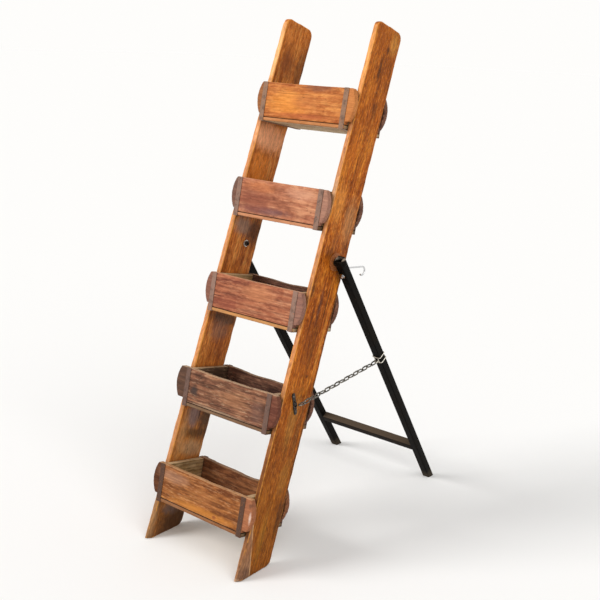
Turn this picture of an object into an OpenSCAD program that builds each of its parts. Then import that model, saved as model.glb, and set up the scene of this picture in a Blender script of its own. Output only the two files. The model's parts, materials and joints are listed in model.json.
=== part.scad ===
// Plant ladder stand: two leaning timber rails carry five old timber brick moulds as planting
// troughs, and a welded rear frame of square steel tube props the ladder up. The rear frame
// turns on two pivot bolts, and a steel chain from the right rail stops it from spreading.
//
// The model stands on Z = 0 with its front towards -Y. X = 0 is the middle of the ladder, and
// Y = 0 is half way between the tips of the rails and the rear corners of the leg feet.

/* [Stand] */
// Height of the rails' top ends above the floor
stand_h = 1500; // [1250:10:1800]
// Lean of the rails from upright, in degrees
rake = 20; // [17:0.5:23]
// Width over the rails at the floor
floor_w = 370; // [340:5:450]
// Width over the rails at their top ends
top_w = 340; // [280:5:365]

/* [Rails] */
// Depth of a rail from its front edge to its rear edge
rail_d = 128; // [107:1:154]
// Thickness of a rail
rail_t = 17; // [16:0.5:21]
// How much the rear corner of a rail's top end stands above square
top_rise = 6; // [0:1:12]
// Radius of the front corner of a rail's top end
top_front_r = 9; // [4:1:14]
// Radius of the rear corner of a rail's top end
top_rear_r = 24; // [10:1:34]
// Radius of the rear corner of a rail's foot
foot_rear_r = 26; // [10:1:34]
// Height, width and depth of the worn bevel on the front right corner of a rail's foot
foot_bevel = [11, 16, 115];

/* [Brick moulds] */
// Number of moulds
mould_n = 5; // [4:1:5]
// Distance up the rails from the floor to the corner of the lowest mould
first_up = 127; // [110:1:150]
// Length of rail that stands above the highest mould
rail_above = 205; // [170:1:250]
// Turn of the moulds back towards level, from square to the rails, in degrees
mould_turn = 9; // [5:0.5:11]
// Height of a mould over its base and boards
mould_h = 112; // [94:1:134]
// Thickness of the front and rear boards
board_t = 18; // [15:0.5:22]
// Thickness of the end boards
end_t = 18; // [15:0.5:22]
// Thickness of the base board
base_t = 11; // [9:0.5:14]
// How far the end boards' top edges lie below the long boards' top edges
end_drop = 2; // [0:0.5:6]
// Height of the ears' lower edges above the underside
ear_low = 20; // [18:1:30]
// Bulge of an ear's curved edge
ear_bulge = 13.5; // [8:0.5:16]
// How far the front ears stand out past the right rail, lowest mould first
right_ear_over = [12, 8.5, 5, 3, 7];
// How far the front ears stand out past the left rail, lowest mould first
left_ear_over = [7, 18, 4, 1, 0];
// Deepest wear of the front boards' top edges, lowest mould first
front_wear = [2.5, 4, 1.5, 1, 1];
// Deepest wear of the rear boards' top edges, lowest mould first
rear_wear = [8, 7, 5, 3, 2];
// Clearance of the boards from the rails
board_gap = 0.3; // [0.2:0.05:0.6]

/* [Mould irons and screws] */
// Width of an iron strap
strap_w = 16; // [12:0.5:17]
// Thickness of an iron strap
strap_t = 1.5; // [1:0.1:2]
// Radius of a mould screw's shank
screw_r = 2; // [1.75:0.25:2.5]
// How deep a mould screw goes into a rail
screw_bite = 12; // [8:0.5:14]
// Radius and height of a mould screw's head
screw_head = [4, 2.4];
// Share of the mould's inner depth at which the two screws of an end stand
screw_places = [0.25, 0.72];

/* [Rear frame] */
// Width of the square tube
tube_w = 25; // [22:1:30]
// Wall of the square tube
tube_wall = 2; // [1.5:0.25:3]
// Outer radius of the square tube's corners
tube_corner = 3; // [1.5:0.25:4]
// Spread of the legs from upright, in degrees
leg_angle = 34.5; // [32:0.5:36]
// Length of leg above the pivot
leg_above = 15; // [13:0.5:20]
// Height of the crossbar's axis above the foot, along the leg
crossbar_up = 167.5; // [140:1:195]
// Distance of the pivot above the corner of the middle mould, along the rail
pivot_up = 217; // [205:1:225]
// Distance of the pivot behind the front edge of the rail
pivot_v = 76; // [64:1:85]
// Size of the weld beads at the crossbar's ends
weld = 3; // [2:0.5:4]

/* [Pivot bolts] */
// Radius of a pivot bolt
bolt_r = 4; // [3:0.5:5]
// Running clearance round a pivot bolt
bolt_gap = 0.08; // [0.02:0.01:0.1]
// Clearance between faces that turn past each other
side_gap = 0.3; // [0.2:0.05:0.5]
// Radius and height of a pivot bolt's domed head
bolt_head = [9, 4];
// Radius and thickness of the wide washers on the rails' outer faces
wide_washer = [26, 2];
// Radius of the spacers between the wide washers and the legs
spacer_r = 11; // [8:0.5:14]
// Radius and thickness of the washers under the nuts
nut_washer = [10.5, 1.6];
// Width across the flats and height of the pivot nuts
bolt_nut = [13, 6.5];
// Length of thread that stands out of a nut
thread_out = 2.5; // [1:0.5:5]

/* [Chain] */
// Least distance of the chain's eye below the pivot, along the leg
eye_down = 390; // [300:5:450]
// Distance from link to link
link_pitch = 23.06; // [22:0.01:25]
// Radius of the link's wire
link_wire = 2; // [1.75:0.25:2.5]
// Clear width inside a link
link_inside = 6; // [5.5:0.25:7]
// Clearance between links
link_gap = 0.2; // [0.1:0.05:0.4]
// Distance of the chain plate behind the front edge of the rail
plate_v = 52; // [44:1:62]
// Distance of the chain plate above the corner of the second mould, along the rail
plate_up = 94; // [80:1:110]
// Length, width and thickness of the chain plate
plate_size = [67, 12, 2.5];
// Lean of the chain plate from the line of the rail, in degrees
plate_lean = 31; // [20:1:40]
// Distance from screw to screw in the chain plate
plate_screw_gap = 46; // [38:1:50]
// Radius and length of the chain plate's screws
plate_screw = [1.75, 15];
// Radius and height of the heads of the chain plate's screws
plate_screw_head = [3.6, 1.8];
// Radius of the staple's wire
staple_wire = 1.75; // [1.5:0.25:2]
// Distance between the legs of the staple
staple_span = 14; // [12:0.5:16]
// Radius of the tie wire that is wound round the leg
tie_wire = 1.5; // [1:0.25:2]
// Distance between the two turns of the tie wire
tie_turn_gap = 20; // [16:1:26]
// Distance of the eye's bar in front of the leg's face
eye_reach = 11.5; // [11.5:0.25:14]

/* [Hook] */
// Distance of the hook below the pivot, along the leg
hook_down = 38; // [32:1:45]
// Radius of the hook's wire
hook_wire = 2.5; // [2:0.25:3]
// Length of the hook's straight arm
hook_arm = 64; // [50:1:75]
// Droop of the hook's arm below level, in degrees
hook_droop = 6; // [0:1:12]
// Radius of the hook's curl, at the middle of the wire
hook_curl = 12.5; // [10:0.5:16]
// Turn of the hook's curl, in degrees
hook_turn = 215; // [180:5:240]
// Width across the flats and height of the hook's nuts
hook_nut = [9, 4];
// Radius and thickness of the hook's washers
hook_washer = [7, 1.2];

/* [Hidden] */
$fn = 32;
// Clearance of a screw or fixed bolt in its hole
hole_gap = 0.05;
// Overshoot of a cutting shape
cut = 1;

rail_l = stand_h / cos(rake);
taper = atan((floor_w - top_w) / 2 / rail_l);
mould_pitch = (rail_l - first_up - mould_h - rail_above) / (mould_n - 1);
middle_mould = 3;
plate_mould = 2;

// Half width over the rails, and between the rails, at a distance u up the rails.
function rail_half(u) = floor_w / 2 - u * tan(taper);
function rail_inner(u) = rail_half(u) - rail_t / cos(taper);
function mould_u(k) = first_up + (k - 1) * mould_pitch;

// Mould cross-section: depth d runs rearwards, height h up, from the mould's corner.
board_back = (ear_low * sin(mould_turn) - board_gap) / cos(mould_turn);
board_front = board_back - board_t;
rear_face = (rail_d + board_gap + mould_h * sin(mould_turn)) / cos(mould_turn);
rear_back = rear_face + board_t;
screw_h = (base_t + mould_h) / 2;
// Inner face of the mould k's right end board.
function mould_end_x(k) = rail_inner(mould_u(k) + mould_h) - end_t;

// Pivot, in the frame of the rails and in the frame of the stand.
pivot_u = mould_u(middle_mould) + pivot_up;
pivot_y = pivot_u * sin(rake) + pivot_v * cos(rake);
pivot_z = pivot_u * cos(rake) - pivot_v * sin(rake);

// Rear frame. The legs stand as far apart as the rails' feet, so they fold past the rails.
leg_in = floor_w / 2;
leg_out = leg_in + tube_w;
leg_mid = leg_in + tube_w / 2;
half_tube = tube_w / 2;
leg_len = pivot_z / cos(leg_angle);
crossbar_down = leg_len - crossbar_up;
stand_depth = pivot_y + leg_len * sin(leg_angle) + half_tube / cos(leg_angle);

// Depth along the leg at which the level foot lies, n behind the leg's axis.
function foot_w(n) = -(pivot_z + n * sin(leg_angle)) / cos(leg_angle);

// Stack of parts on a pivot bolt.
wide_washer_x = rail_half(pivot_u - wide_washer[0]) + hole_gap;
spacer_x = wide_washer_x + wide_washer[1] + hole_gap;
spacer_end = leg_in - side_gap;
nut_washer_x = rail_inner(pivot_u + nut_washer[0]) - hole_gap;
nut_x = nut_washer_x - nut_washer[1] - hole_gap;
bolt_end = nut_x - bolt_nut[1] - thread_out;

// Chain. A link's bends have the radius link_bend, and its sides the length link_side.
chain_x = leg_mid;
link_bend = link_inside / 2 + link_wire;
link_reach = link_pitch + link_gap + 2 * link_wire;
link_side = link_reach - 2 * link_bend;
link_width = link_inside + 4 * link_wire;

// Staple and eye, in the frame of the leg: s down the leg from the pivot, n behind it.
plate_u = mould_u(plate_mould) + plate_up;
plate_y = plate_u * sin(rake) + plate_v * cos(rake) - pivot_y;
plate_z = plate_u * cos(rake) - plate_v * sin(rake) - pivot_z;
staple_s = plate_y * sin(leg_angle) - plate_z * cos(leg_angle);
staple_n = plate_y * cos(leg_angle) + plate_z * sin(leg_angle);
eye_n = -half_tube - eye_reach;

// An even number of links that reaches the eye. The eye lies where the chain is straight.
link_n = 2 * ceil(norm([eye_down - staple_s, eye_n - staple_n]) / link_pitch / 2);
aft_links = link_n / 2;
mid_links = 1;
fore_links = link_n - aft_links - mid_links;
eye_s = staple_s + sqrt((link_n * link_pitch) ^ 2 - (staple_n - eye_n) ^ 2);
chain_turn = atan2(eye_s - staple_s, staple_n - eye_n);
staple_reach = chain_x - link_width / 2 - side_gap - rail_half(plate_u);

// Outer face of the hook's nuts, from the leg's axis, and radius of the bend behind it.
hook_end = half_tube + hook_washer[1] + hook_nut[1] + 2 * hole_gap;
hook_elbow = 2.5 * hook_wire;

mould_parts = ["front_board", "rear_board", "left_end", "right_end", "base",
               "left_strap", "right_strap"];
function mould_node(k, part) = str("mould_", k, "_", part);

rail_colour = "#a8642a";
mould_colour = "#93553a";
base_colour = "#c9a57c";
strap_colour = "#6b5a50";
black_steel = "#24211f";
chain_steel = "#8b8781";
bright_steel = "#c3c5c7";

// Unit vector along v.
function unit(v) = v / norm(v);

// Points of an arc of radius r that rounds the corner b between a and c.
function fillet(a, b, c, r, n = 8) =
    let (p = unit(a - b))
    let (q = unit(c - b))
    let (half = acos(p * q) / 2)
    let (centre = b + unit(p + q) * r / sin(half))
    let (start = b + p * r / tan(half) - centre)
    let (end = b + q * r / tan(half) - centre)
    let (from = atan2(start[1], start[0]))
    let (sweep = ((atan2(end[1], end[0]) - from + 540) % 360) - 180)
    [for (i = [0 : n]) centre + r * [cos(from + sweep * i / n), sin(from + sweep * i / n)]];

// Outline through the points, with each corner rounded by its own radius.
function rounded(points, radii) =
    let (n = len(points))
    [for (i = [0 : n - 1])
        each radii[i] > 0
            ? fillet(points[(i + n - 1) % n], points[i], points[(i + 1) % n], radii[i])
            : [points[i]]];

// Frame of the rails: X across, Y from the front edge rearwards, Z up along the rails.
module rail_plane() {
    translate([0, -stand_depth / 2, 0])
        rotate([-rake, 0, 0])
            children();
}

// Frame of the right rail: X = 0 is its outer face, which leans in by the taper.
module right_rail_frame() {
    translate([floor_w / 2, 0, 0])
        rotate([0, -taper, 0])
            children();
}

// Frame of the mould k: Y is depth and Z height, from the mould's lower front corner.
module mould_frame(k) {
    translate([0, 0, mould_u(k)])
        rotate([mould_turn, 0, 0])
            children();
}

// Frame of the legs: Z up along the legs from the pivot, Y behind them.
module leg_frame() {
    translate([0, pivot_y - stand_depth / 2, pivot_z])
        rotate([leg_angle, 0, 0])
            children();
}

// Frame of the chain: Y runs along it from the eye on the leg to the staple on the rail.
module chain_frame() {
    leg_frame()
        translate([chain_x, eye_n, -eye_s])
            rotate([chain_turn, 0, 0])
                children();
}

// Extrudes a side view, drawn as (depth, height), from x0 to x1.
module side_view(x0, x1) {
    translate([x0, 0, 0])
        rotate([90, 0, 90])
            linear_extrude(x1 - x0)
                children();
}

// Extrudes a front view, drawn as (x, height), from depth y0 to y1.
module front_view(y0, y1) {
    translate([0, y1, 0])
        rotate([90, 0, 0])
            linear_extrude(y1 - y0)
                children();
}

// Round bar along X from x0 to x1.
module bar_x(x0, x1, r) {
    translate([x0, 0, 0])
        rotate([0, 90, 0])
            cylinder(r = r, h = x1 - x0);
}

// Round bar along Y from y0 to y1.
module bar_y(y0, y1, r) {
    translate([0, y0, 0])
        rotate([-90, 0, 0])
            cylinder(r = r, h = y1 - y0);
}

// Ring or washer on the X axis from x0 to x1.
module ring_x(x0, x1, r, bore) {
    difference() {
        bar_x(x0, x1, r);
        bar_x(x0 - cut, x1 + cut, bore);
    }
}

// Hexagon nut of width w on the X axis from x0 to x1, with its corners chamfered at 30 degrees.
module nut_x_axis(x0, x1, w, bore) {
    h = x1 - x0;
    corner = w / 2 / cos(30);
    flat = 0.475 * w;
    chamfer = (corner - flat) * tan(30);
    difference() {
        translate([x0, 0, 0])
            rotate([0, 90, 0])
                intersection() {
                    cylinder(r = corner, h = h, $fn = 6);
                    rotate_extrude()
                        polygon([[0, 0], [flat, 0], [corner, chamfer], [corner, h - chamfer],
                                 [flat, h], [0, h]]);
                }
        bar_x(x0 - cut, x1 + cut, bore);
    }
}

// Wire bend that starts at the origin along Y and turns towards -Z.
module turn_down(bend, angle, r) {
    translate([0, 0, -bend])
        rotate([0, -90, 0])
            rotate_extrude(angle = angle)
                translate([bend, 0])
                    circle(r = r);
}

// Wire bend in the XY plane about the origin, from the angle a0 over a quarter turn.
module quarter_bend(bend, a0, r) {
    rotate([0, 0, a0])
        rotate_extrude(angle = 90)
            translate([bend, 0])
                circle(r = r);
}

// ---------------------------------------------------------------- rails

// Where the two screws of the mould k's right end stand, on the X axis of each place.
module right_screw_places(k) {
    mould_frame(k)
        for (share = screw_places)
            translate([0, board_back + share * (rear_face - board_back), screw_h])
                children();
}

module plate_screw_places() {
    translate([0, plate_v, plate_u])
        rotate([plate_lean, 0, 0])
            for (side = [-1, 1])
                translate([0, 0, side * plate_screw_gap / 2])
                    children();
}

// Worn bevel on the front corner of a foot, for the corner at X = 0.
module foot_bevel_cut() {
    away = cross([-foot_bevel[0], 0, -foot_bevel[2]], [0, foot_bevel[1], -foot_bevel[2]]);
    size = 2 * foot_bevel[2];
    translate([0, 0, foot_bevel[2]])
        rotate([0, -asin(away[2] / norm(away)), atan2(away[1], away[0])])
            translate([0, -size, -size])
                cube(2 * size);
}

// Plank of the right rail with its rounded ends, before it is drilled.
module rail_plank(bevel_right) {
    foot = rail_d * tan(rake);
    corners = [[0, -cut], [rail_d, foot - cut], [rail_d, rail_l + top_rise], [0, rail_l]];
    difference() {
        right_rail_frame()
            difference() {
                side_view(-rail_t, 0)
                    polygon(rounded(corners, [0, foot_rear_r, top_rear_r, top_front_r]));
                if (bevel_right)
                    foot_bevel_cut();
                else
                    translate([-rail_t, 0, 0])
                        mirror([1, 0, 0])
                            foot_bevel_cut();
            }
        rotate([rake, 0, 0])
            translate([0, -rail_d, -rail_d])
                cube([floor_w, 3 * rail_d, rail_d]);
    }
}

module drilled_rail(bevel_right, chain_side) {
    rail_plane()
        difference() {
            rail_plank(bevel_right);
            translate([0, pivot_v, pivot_u])
                bar_x(0, floor_w, bolt_r + hole_gap);
            for (k = [1 : mould_n])
                right_screw_places(k)
                    bar_x(0, rail_inner(mould_u(k)) + screw_bite, screw_r + hole_gap);
            if (chain_side)
                right_rail_frame()
                    plate_screw_places()
                        bar_x(-plate_screw[1] - hole_gap, cut, plate_screw[0] + hole_gap);
        }
}

module right_rail() {
    color(rail_colour)
        drilled_rail(true, true);
}

module left_rail() {
    color(rail_colour)
        mirror([1, 0, 0])
            drilled_rail(false, false);
}

// ---------------------------------------------------------------- brick moulds

// Space between the rails' inner faces.
module between_rails() {
    far = 2 * rail_l;
    front_view(-far, far)
        polygon([[-rail_inner(-far), -far], [rail_inner(-far), -far],
                 [rail_inner(far), far], [-rail_inner(far), far]]);
}

// Curved edge of the right ear, from its lower to its upper corner, with its tip at x.
function ear_edge(x) =
    let (half = (mould_h - ear_low) / 2)
    let (r = (half ^ 2 + ear_bulge ^ 2) / 2 / ear_bulge)
    let (sweep = asin(half / r))
    [for (a = [-sweep : sweep / 8 : sweep + 0.01]) [x - r + r * cos(a), ear_low + half + r * sin(a)]];

// Worn top edge from the point a to the point b: deepest near the middle, and uneven.
function worn_edge(a, b, wear, k) =
    [for (i = [1 : 23])
        let (t = i / 24)
        let (dip = (1 - cos(360 * t)) / 2 * (1 + 0.3 * sin(360 * (2.4 * t + 0.31 * k))))
        [a[0] + (b[0] - a[0]) * t, mould_h - wear * dip / 1.3]];

// Outline of a long board. Its lower part fits between the rails, and the tips of its ears
// lie at right on one side and at left on the other.
function board_outline(k, right, left, wear) =
    let (low = rail_inner(mould_u(k) + mould_h) - board_gap)
    let (ear = ear_edge(right))
    let (other = [for (point = ear_edge(left)) [-point[0], point[1]]])
    let (n = len(ear) - 1)
    concat([[-low, base_t], [low, base_t], [low, ear_low]], ear,
           worn_edge(ear[n], other[n], wear, k),
           [for (i = [n : -1 : 0]) other[i]], [[-low, ear_low]]);

module mould_front_board(k) {
    rail = rail_half(mould_u(k) + mould_h / 2);
    color(mould_colour)
        rail_plane()
            mould_frame(k)
                front_view(board_front, board_back)
                    polygon(board_outline(k, rail + right_ear_over[k - 1],
                                          rail + left_ear_over[k - 1], front_wear[k - 1]));
}

module mould_rear_board(k) {
    flush = rail_half(mould_u(k) + mould_h) - board_gap;
    color(mould_colour)
        rail_plane()
            mould_frame(k)
                front_view(rear_face, rear_back)
                    polygon(board_outline(k, flush, flush, rear_wear[k - 1]));
}

module mould_base(k) {
    half = rail_inner(mould_u(k) + mould_h) - board_gap;
    color(base_colour)
        rail_plane()
            mould_frame(k)
                translate([-half, board_front, 0])
                    cube([2 * half, rear_back - board_front, base_t]);
}

// End board of the right side. Its outer face lies flat on the rail, which leans in.
module mould_end(k) {
    color(mould_colour)
        rail_plane()
            difference() {
                intersection() {
                    between_rails();
                    mould_frame(k)
                        translate([mould_end_x(k), board_back, base_t])
                            cube([floor_w, rear_face - board_back, mould_h - end_drop - base_t]);
                }
                right_screw_places(k)
                    bar_x(0, floor_w, screw_r + hole_gap);
            }
}

// Iron strap of the right side: down the front, under the base and up the back.
module mould_strap(k) {
    middle = mould_end_x(k) + end_t / 2;
    color(strap_colour)
        rail_plane()
            mould_frame(k)
                side_view(middle - strap_w / 2, middle + strap_w / 2)
                    difference() {
                        translate([board_front - strap_t, -strap_t])
                            square([rear_back - board_front + 2 * strap_t, mould_h + strap_t]);
                        translate([board_front, 0])
                            square([rear_back - board_front, mould_h + cut]);
                    }
}

module mould_part(k, part) {
    if (part == "front_board")
        mould_front_board(k);
    if (part == "rear_board")
        mould_rear_board(k);
    if (part == "base")
        mould_base(k);
    if (part == "right_end")
        mould_end(k);
    if (part == "left_end")
        mirror([1, 0, 0])
            mould_end(k);
    if (part == "right_strap")
        mould_strap(k);
    if (part == "left_strap")
        mirror([1, 0, 0])
            mould_strap(k);
}

// Screws through the end boards into the rails, with domed heads inside the moulds.
module mould_screw(k) {
    head = mould_end_x(k);
    bar_x(head, rail_inner(mould_u(k)) + screw_bite - hole_gap, screw_r);
    translate([head, 0, 0])
        rotate([0, -90, 0])
            dome(screw_head[0], screw_head[1]);
}

// Dome of radius r and height h on the XY plane.
module dome(r, h) {
    ball = (r ^ 2 + h ^ 2) / 2 / h;
    sweep = asin(r / ball);
    rotate_extrude()
        polygon([[0, 0], for (a = [sweep : -sweep / 6 : -0.01])
                             [max(0, ball * sin(a)), h - ball + ball * cos(a)]]);
}

module mould_screws() {
    color(strap_colour)
        rail_plane()
            for (side = [0, 1])
                mirror([side, 0, 0])
                    for (k = [1 : mould_n])
                        right_screw_places(k)
                            mould_screw(k);
}

// ---------------------------------------------------------------- rear frame

// Cross-section of the square tube, drawn in by a wall, with rounded corners.
module tube_section(wall) {
    w = tube_w - 2 * wall;
    r = max(tube_corner - wall, tube_corner / 4);
    square([w - 2 * r, w], center = true);
    square([w, w - 2 * r], center = true);
    for (x = [-1, 1])
        for (y = [-1, 1])
            translate([x * (w / 2 - r), y * (w / 2 - r)])
                circle(r = r);
}

// Square tube on the Z axis from z0 to z1, open at both ends.
module square_tube(z0, z1) {
    translate([0, 0, z0])
        difference() {
            linear_extrude(z1 - z0)
                tube_section(0);
            translate([0, 0, -cut])
                linear_extrude(z1 - z0 + 2 * cut)
                    tube_section(tube_wall);
        }
}

// Right leg in the frame of the legs, with its foot cut level and its bolt hole.
module leg() {
    difference() {
        translate([leg_mid, 0, 0])
            square_tube(foot_w(half_tube) - cut, leg_above);
        rotate([-leg_angle, 0, 0])
            translate([0, 0, -pivot_z - 2 * tube_w])
                cube([floor_w, stand_depth, 2 * tube_w]);
        bar_x(0, leg_out + cut, bolt_r + bolt_gap);
    }
}

module right_leg() {
    color(black_steel)
        leg_frame()
            difference() {
                leg();
                translate([leg_mid, 0, -hook_down])
                    bar_y(-tube_w, tube_w, hook_wire + hole_gap);
            }
}

module left_leg() {
    color(black_steel)
        leg_frame()
            mirror([1, 0, 0])
                leg();
}

module crossbar() {
    color(black_steel)
        leg_frame()
            translate([0, 0, -crossbar_down])
                rotate([0, 90, 0])
                    square_tube(-leg_in, leg_in);
}

// Quarter-round bead in the corner between a leg and a face of the crossbar.
module weld_bead(up) {
    bead = half_tube - max(weld, tube_corner);
    translate([leg_in, 0, -crossbar_down + up * half_tube])
        intersection() {
            bar_y(-bead, bead, weld);
            translate([-2 * weld, -half_tube, up > 0 ? 0 : -2 * weld])
                cube([2 * weld, tube_w, 2 * weld]);
        }
}

module weld_beads() {
    color(black_steel)
        leg_frame()
            for (side = [0, 1])
                mirror([side, 0, 0])
                    for (up = [-1, 1])
                        weld_bead(up);
}

// ---------------------------------------------------------------- pivot bolts

// Places the children on both pivots, mirrored on the left.
module both_pivots() {
    rail_plane()
        for (side = [0, 1])
            mirror([side, 0, 0])
                translate([0, pivot_v, pivot_u])
                    children();
}

module pivot_bolts() {
    color(black_steel)
        both_pivots() {
            bar_x(bolt_end, leg_out + side_gap + bolt_head[1] / 2, bolt_r);
            translate([leg_out + side_gap, 0, 0])
                rotate([0, 90, 0])
                    dome(bolt_head[0], bolt_head[1]);
        }
}

module wide_washers() {
    color(black_steel)
        both_pivots()
            ring_x(wide_washer_x, wide_washer_x + wide_washer[1], wide_washer[0],
                   bolt_r + hole_gap);
}

module pivot_spacers() {
    color(black_steel)
        both_pivots()
            ring_x(spacer_x, spacer_end, spacer_r, bolt_r + hole_gap);
}

module nut_washers() {
    color(bright_steel)
        both_pivots()
            ring_x(nut_washer_x - nut_washer[1], nut_washer_x, nut_washer[0], bolt_r + hole_gap);
}

module pivot_nuts() {
    color(black_steel)
        both_pivots()
            nut_x_axis(nut_x - bolt_nut[1], nut_x, bolt_nut[0], bolt_r + hole_gap);
}

// ---------------------------------------------------------------- chain

// Frame of the chain plate: Z along the plate, X out of the rail's outer face.
module plate_frame() {
    rail_plane()
        right_rail_frame()
            translate([0, plate_v, plate_u])
                rotate([plate_lean, 0, 0])
                    children();
}

module chain_plate() {
    half = plate_size[0] / 2 - plate_size[1] / 2;
    color(black_steel)
        difference() {
            plate_frame()
                side_view(0, plate_size[2]) {
                    translate([-plate_size[1] / 2, -half])
                        square([plate_size[1], 2 * half]);
                    for (end = [-1, 1])
                        translate([0, end * half])
                            circle(d = plate_size[1]);
                }
            rail_plane()
                right_rail_frame()
                    plate_screw_places()
                        bar_x(-cut, plate_size[2] + cut, plate_screw[0] + hole_gap);
        }
}

module plate_screws() {
    color(black_steel)
        rail_plane()
            right_rail_frame()
                plate_screw_places() {
                    bar_x(-plate_screw[1], plate_size[2], plate_screw[0]);
                    translate([plate_size[2], 0, 0])
                        rotate([0, 90, 0])
                            dome(plate_screw_head[0], plate_screw_head[1]);
                }
}

// U of wire that stands on the plate, with its crown along the plate.
module chain_staple() {
    bend = 2 * staple_wire;
    side = staple_span / 2;
    color(black_steel)
        plate_frame()
            rotate([-90, 0, 0])
                rotate([0, 0, -90])
                    wire_u(plate_size[2], staple_reach - staple_wire, side, bend, staple_wire);
}

// U of wire in the XY plane: legs at X = -side and side from Y = low, and a crown at Y = high.
module wire_u(low, high, side, bend, r) {
    for (end = [-1, 1])
        translate([end * side, 0, 0])
            bar_y(low, high - bend, r);
    translate([side - bend, high - bend, 0])
        quarter_bend(bend, 0, r);
    translate([bend - side, high - bend, 0])
        quarter_bend(bend, 90, r);
    translate([0, high, 0])
        bar_x(bend - side, side - bend, r);
}

// One turn of wire round the square tube, in the XY plane, with its middle at (half, half).
module wire_turn(half, bend, r) {
    flat = half - bend;
    for (quarter = [0 : 3])
        rotate([0, 0, 90 * quarter]) {
            translate([flat, flat, 0])
                quarter_bend(bend, 0, r);
            translate([0, half, 0])
                bar_x(-flat, flat, r);
        }
}

// Two turns of wire round the right leg, with two runs between them that hold the eye.
module chain_tie() {
    wire_half = half_tube + hole_gap + tie_wire;
    eye_side = link_bend + 1;
    color(chain_steel)
        leg_frame()
            translate([leg_mid, 0, -eye_s]) {
                for (turn = [-1, 1])
                    translate([0, 0, turn * tie_turn_gap / 2])
                        wire_turn(wire_half, tube_corner + hole_gap + tie_wire, tie_wire);
                for (end = [-1, 1])
                    translate([end * eye_side, -wire_half, -tie_turn_gap / 2])
                        cylinder(r = 0.9 * tie_wire, h = tie_turn_gap);
                mirror([0, 1, 0])
                    wire_u(wire_half, -eye_n, eye_side, 2 * link_wire - 1, link_wire);
            }
}

// One link in the XY plane, along Y.
module link() {
    for (side = [-1, 1])
        translate([side * link_bend, 0, 0])
            bar_y(-link_side / 2, link_side / 2, link_wire);
    for (end = [0, 180])
        rotate([0, 0, end])
            translate([0, link_side / 2, 0])
                rotate_extrude(angle = 180)
                    translate([link_bend, 0])
                        circle(r = link_wire);
}

// Links from the first to the last number. Odd links stand edge-on to the rails' faces.
module links(first, last) {
    color(chain_steel)
        chain_frame()
            for (i = [first : last])
                translate([0, i * link_pitch - link_reach / 2, 0])
                    rotate([0, i % 2 * 90, 0])
                        link();
}

module chain_links_aft() {
    links(1, aft_links);
}

module chain_link_mid() {
    links(aft_links + 1, aft_links + mid_links);
}

module chain_links_fore() {
    links(link_n - fore_links + 1, link_n);
}

// ---------------------------------------------------------------- hook

// Frame of the hook: Y out of the rear of the right leg.
module hook_frame() {
    leg_frame()
        translate([leg_mid, 0, -hook_down])
            children();
}

module hook() {
    angle = leg_angle + hook_droop;
    start = hook_end + 2;
    color(bright_steel)
        hook_frame() {
            bar_y(-start, start, hook_wire);
            translate([0, start, 0])
                turn_down(hook_elbow, angle, hook_wire);
            translate([0, start, -hook_elbow])
                rotate([-angle, 0, 0])
                    translate([0, 0, hook_elbow]) {
                        bar_y(0, hook_arm, hook_wire);
                        translate([0, hook_arm, 0])
                            turn_down(hook_curl, hook_turn, hook_wire);
                    }
        }
}

module hook_nuts() {
    color(bright_steel)
        hook_frame()
            rotate([0, 0, 90])
                for (side = [0, 1])
                    mirror([side, 0, 0])
                        nut_x_axis(hook_end - hook_nut[1], hook_end, hook_nut[0],
                                   hook_wire + hole_gap);
}

module hook_washers() {
    seat = half_tube + hole_gap;
    color(bright_steel)
        hook_frame()
            rotate([0, 0, 90])
                for (side = [0, 1])
                    mirror([side, 0, 0])
                        ring_x(seat, seat + hook_washer[1], hook_washer[0],
                               hook_wire + hole_gap);
}

// ---------------------------------------------------------------- nodes

left_rail();
right_rail();
for (k = [1 : mould_n])
    for (part = mould_parts)
        mould_part(k, part);
mould_screws();
left_leg();
right_leg();
crossbar();
weld_beads();
pivot_bolts();
wide_washers();
pivot_spacers();
nut_washers();
pivot_nuts();
chain_plate();
plate_screws();
chain_staple();
chain_tie();
chain_links_aft();
chain_link_mid();
chain_links_fore();
hook();
hook_nuts();
hook_washers();
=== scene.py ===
"""Looks of the plant ladder stand: worn timber rails and brick moulds, black steel rear frame,
check chain and hook. Every size is in metres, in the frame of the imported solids."""

import json
from contextlib import contextmanager
from math import cos, pi, radians, sin, tan

import bmesh
import bpy
from bpy.props import FloatProperty, FloatVectorProperty, PointerProperty
from mathutils import Matrix, Vector


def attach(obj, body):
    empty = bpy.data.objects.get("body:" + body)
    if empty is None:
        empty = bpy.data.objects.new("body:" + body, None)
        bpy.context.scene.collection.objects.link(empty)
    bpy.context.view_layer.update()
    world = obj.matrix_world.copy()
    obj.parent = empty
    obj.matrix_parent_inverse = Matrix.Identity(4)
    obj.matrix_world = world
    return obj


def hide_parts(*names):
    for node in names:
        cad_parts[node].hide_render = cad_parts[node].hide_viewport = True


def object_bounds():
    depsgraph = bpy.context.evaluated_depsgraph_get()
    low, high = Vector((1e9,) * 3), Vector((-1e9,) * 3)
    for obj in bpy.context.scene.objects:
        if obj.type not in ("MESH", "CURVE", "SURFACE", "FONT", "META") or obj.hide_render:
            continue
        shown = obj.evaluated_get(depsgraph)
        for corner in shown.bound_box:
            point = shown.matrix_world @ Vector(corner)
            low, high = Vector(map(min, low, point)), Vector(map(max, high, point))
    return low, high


bl_info = {
    "name": "Plant ladder stand",
    "version": (1, 0, 0),
    "blender": (4, 5, 0),
    "location": "3D View > Sidebar > Ladder",
    "description": "Worn timber, steel and chain of a plant ladder stand",
    "category": "Object",
}

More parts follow.
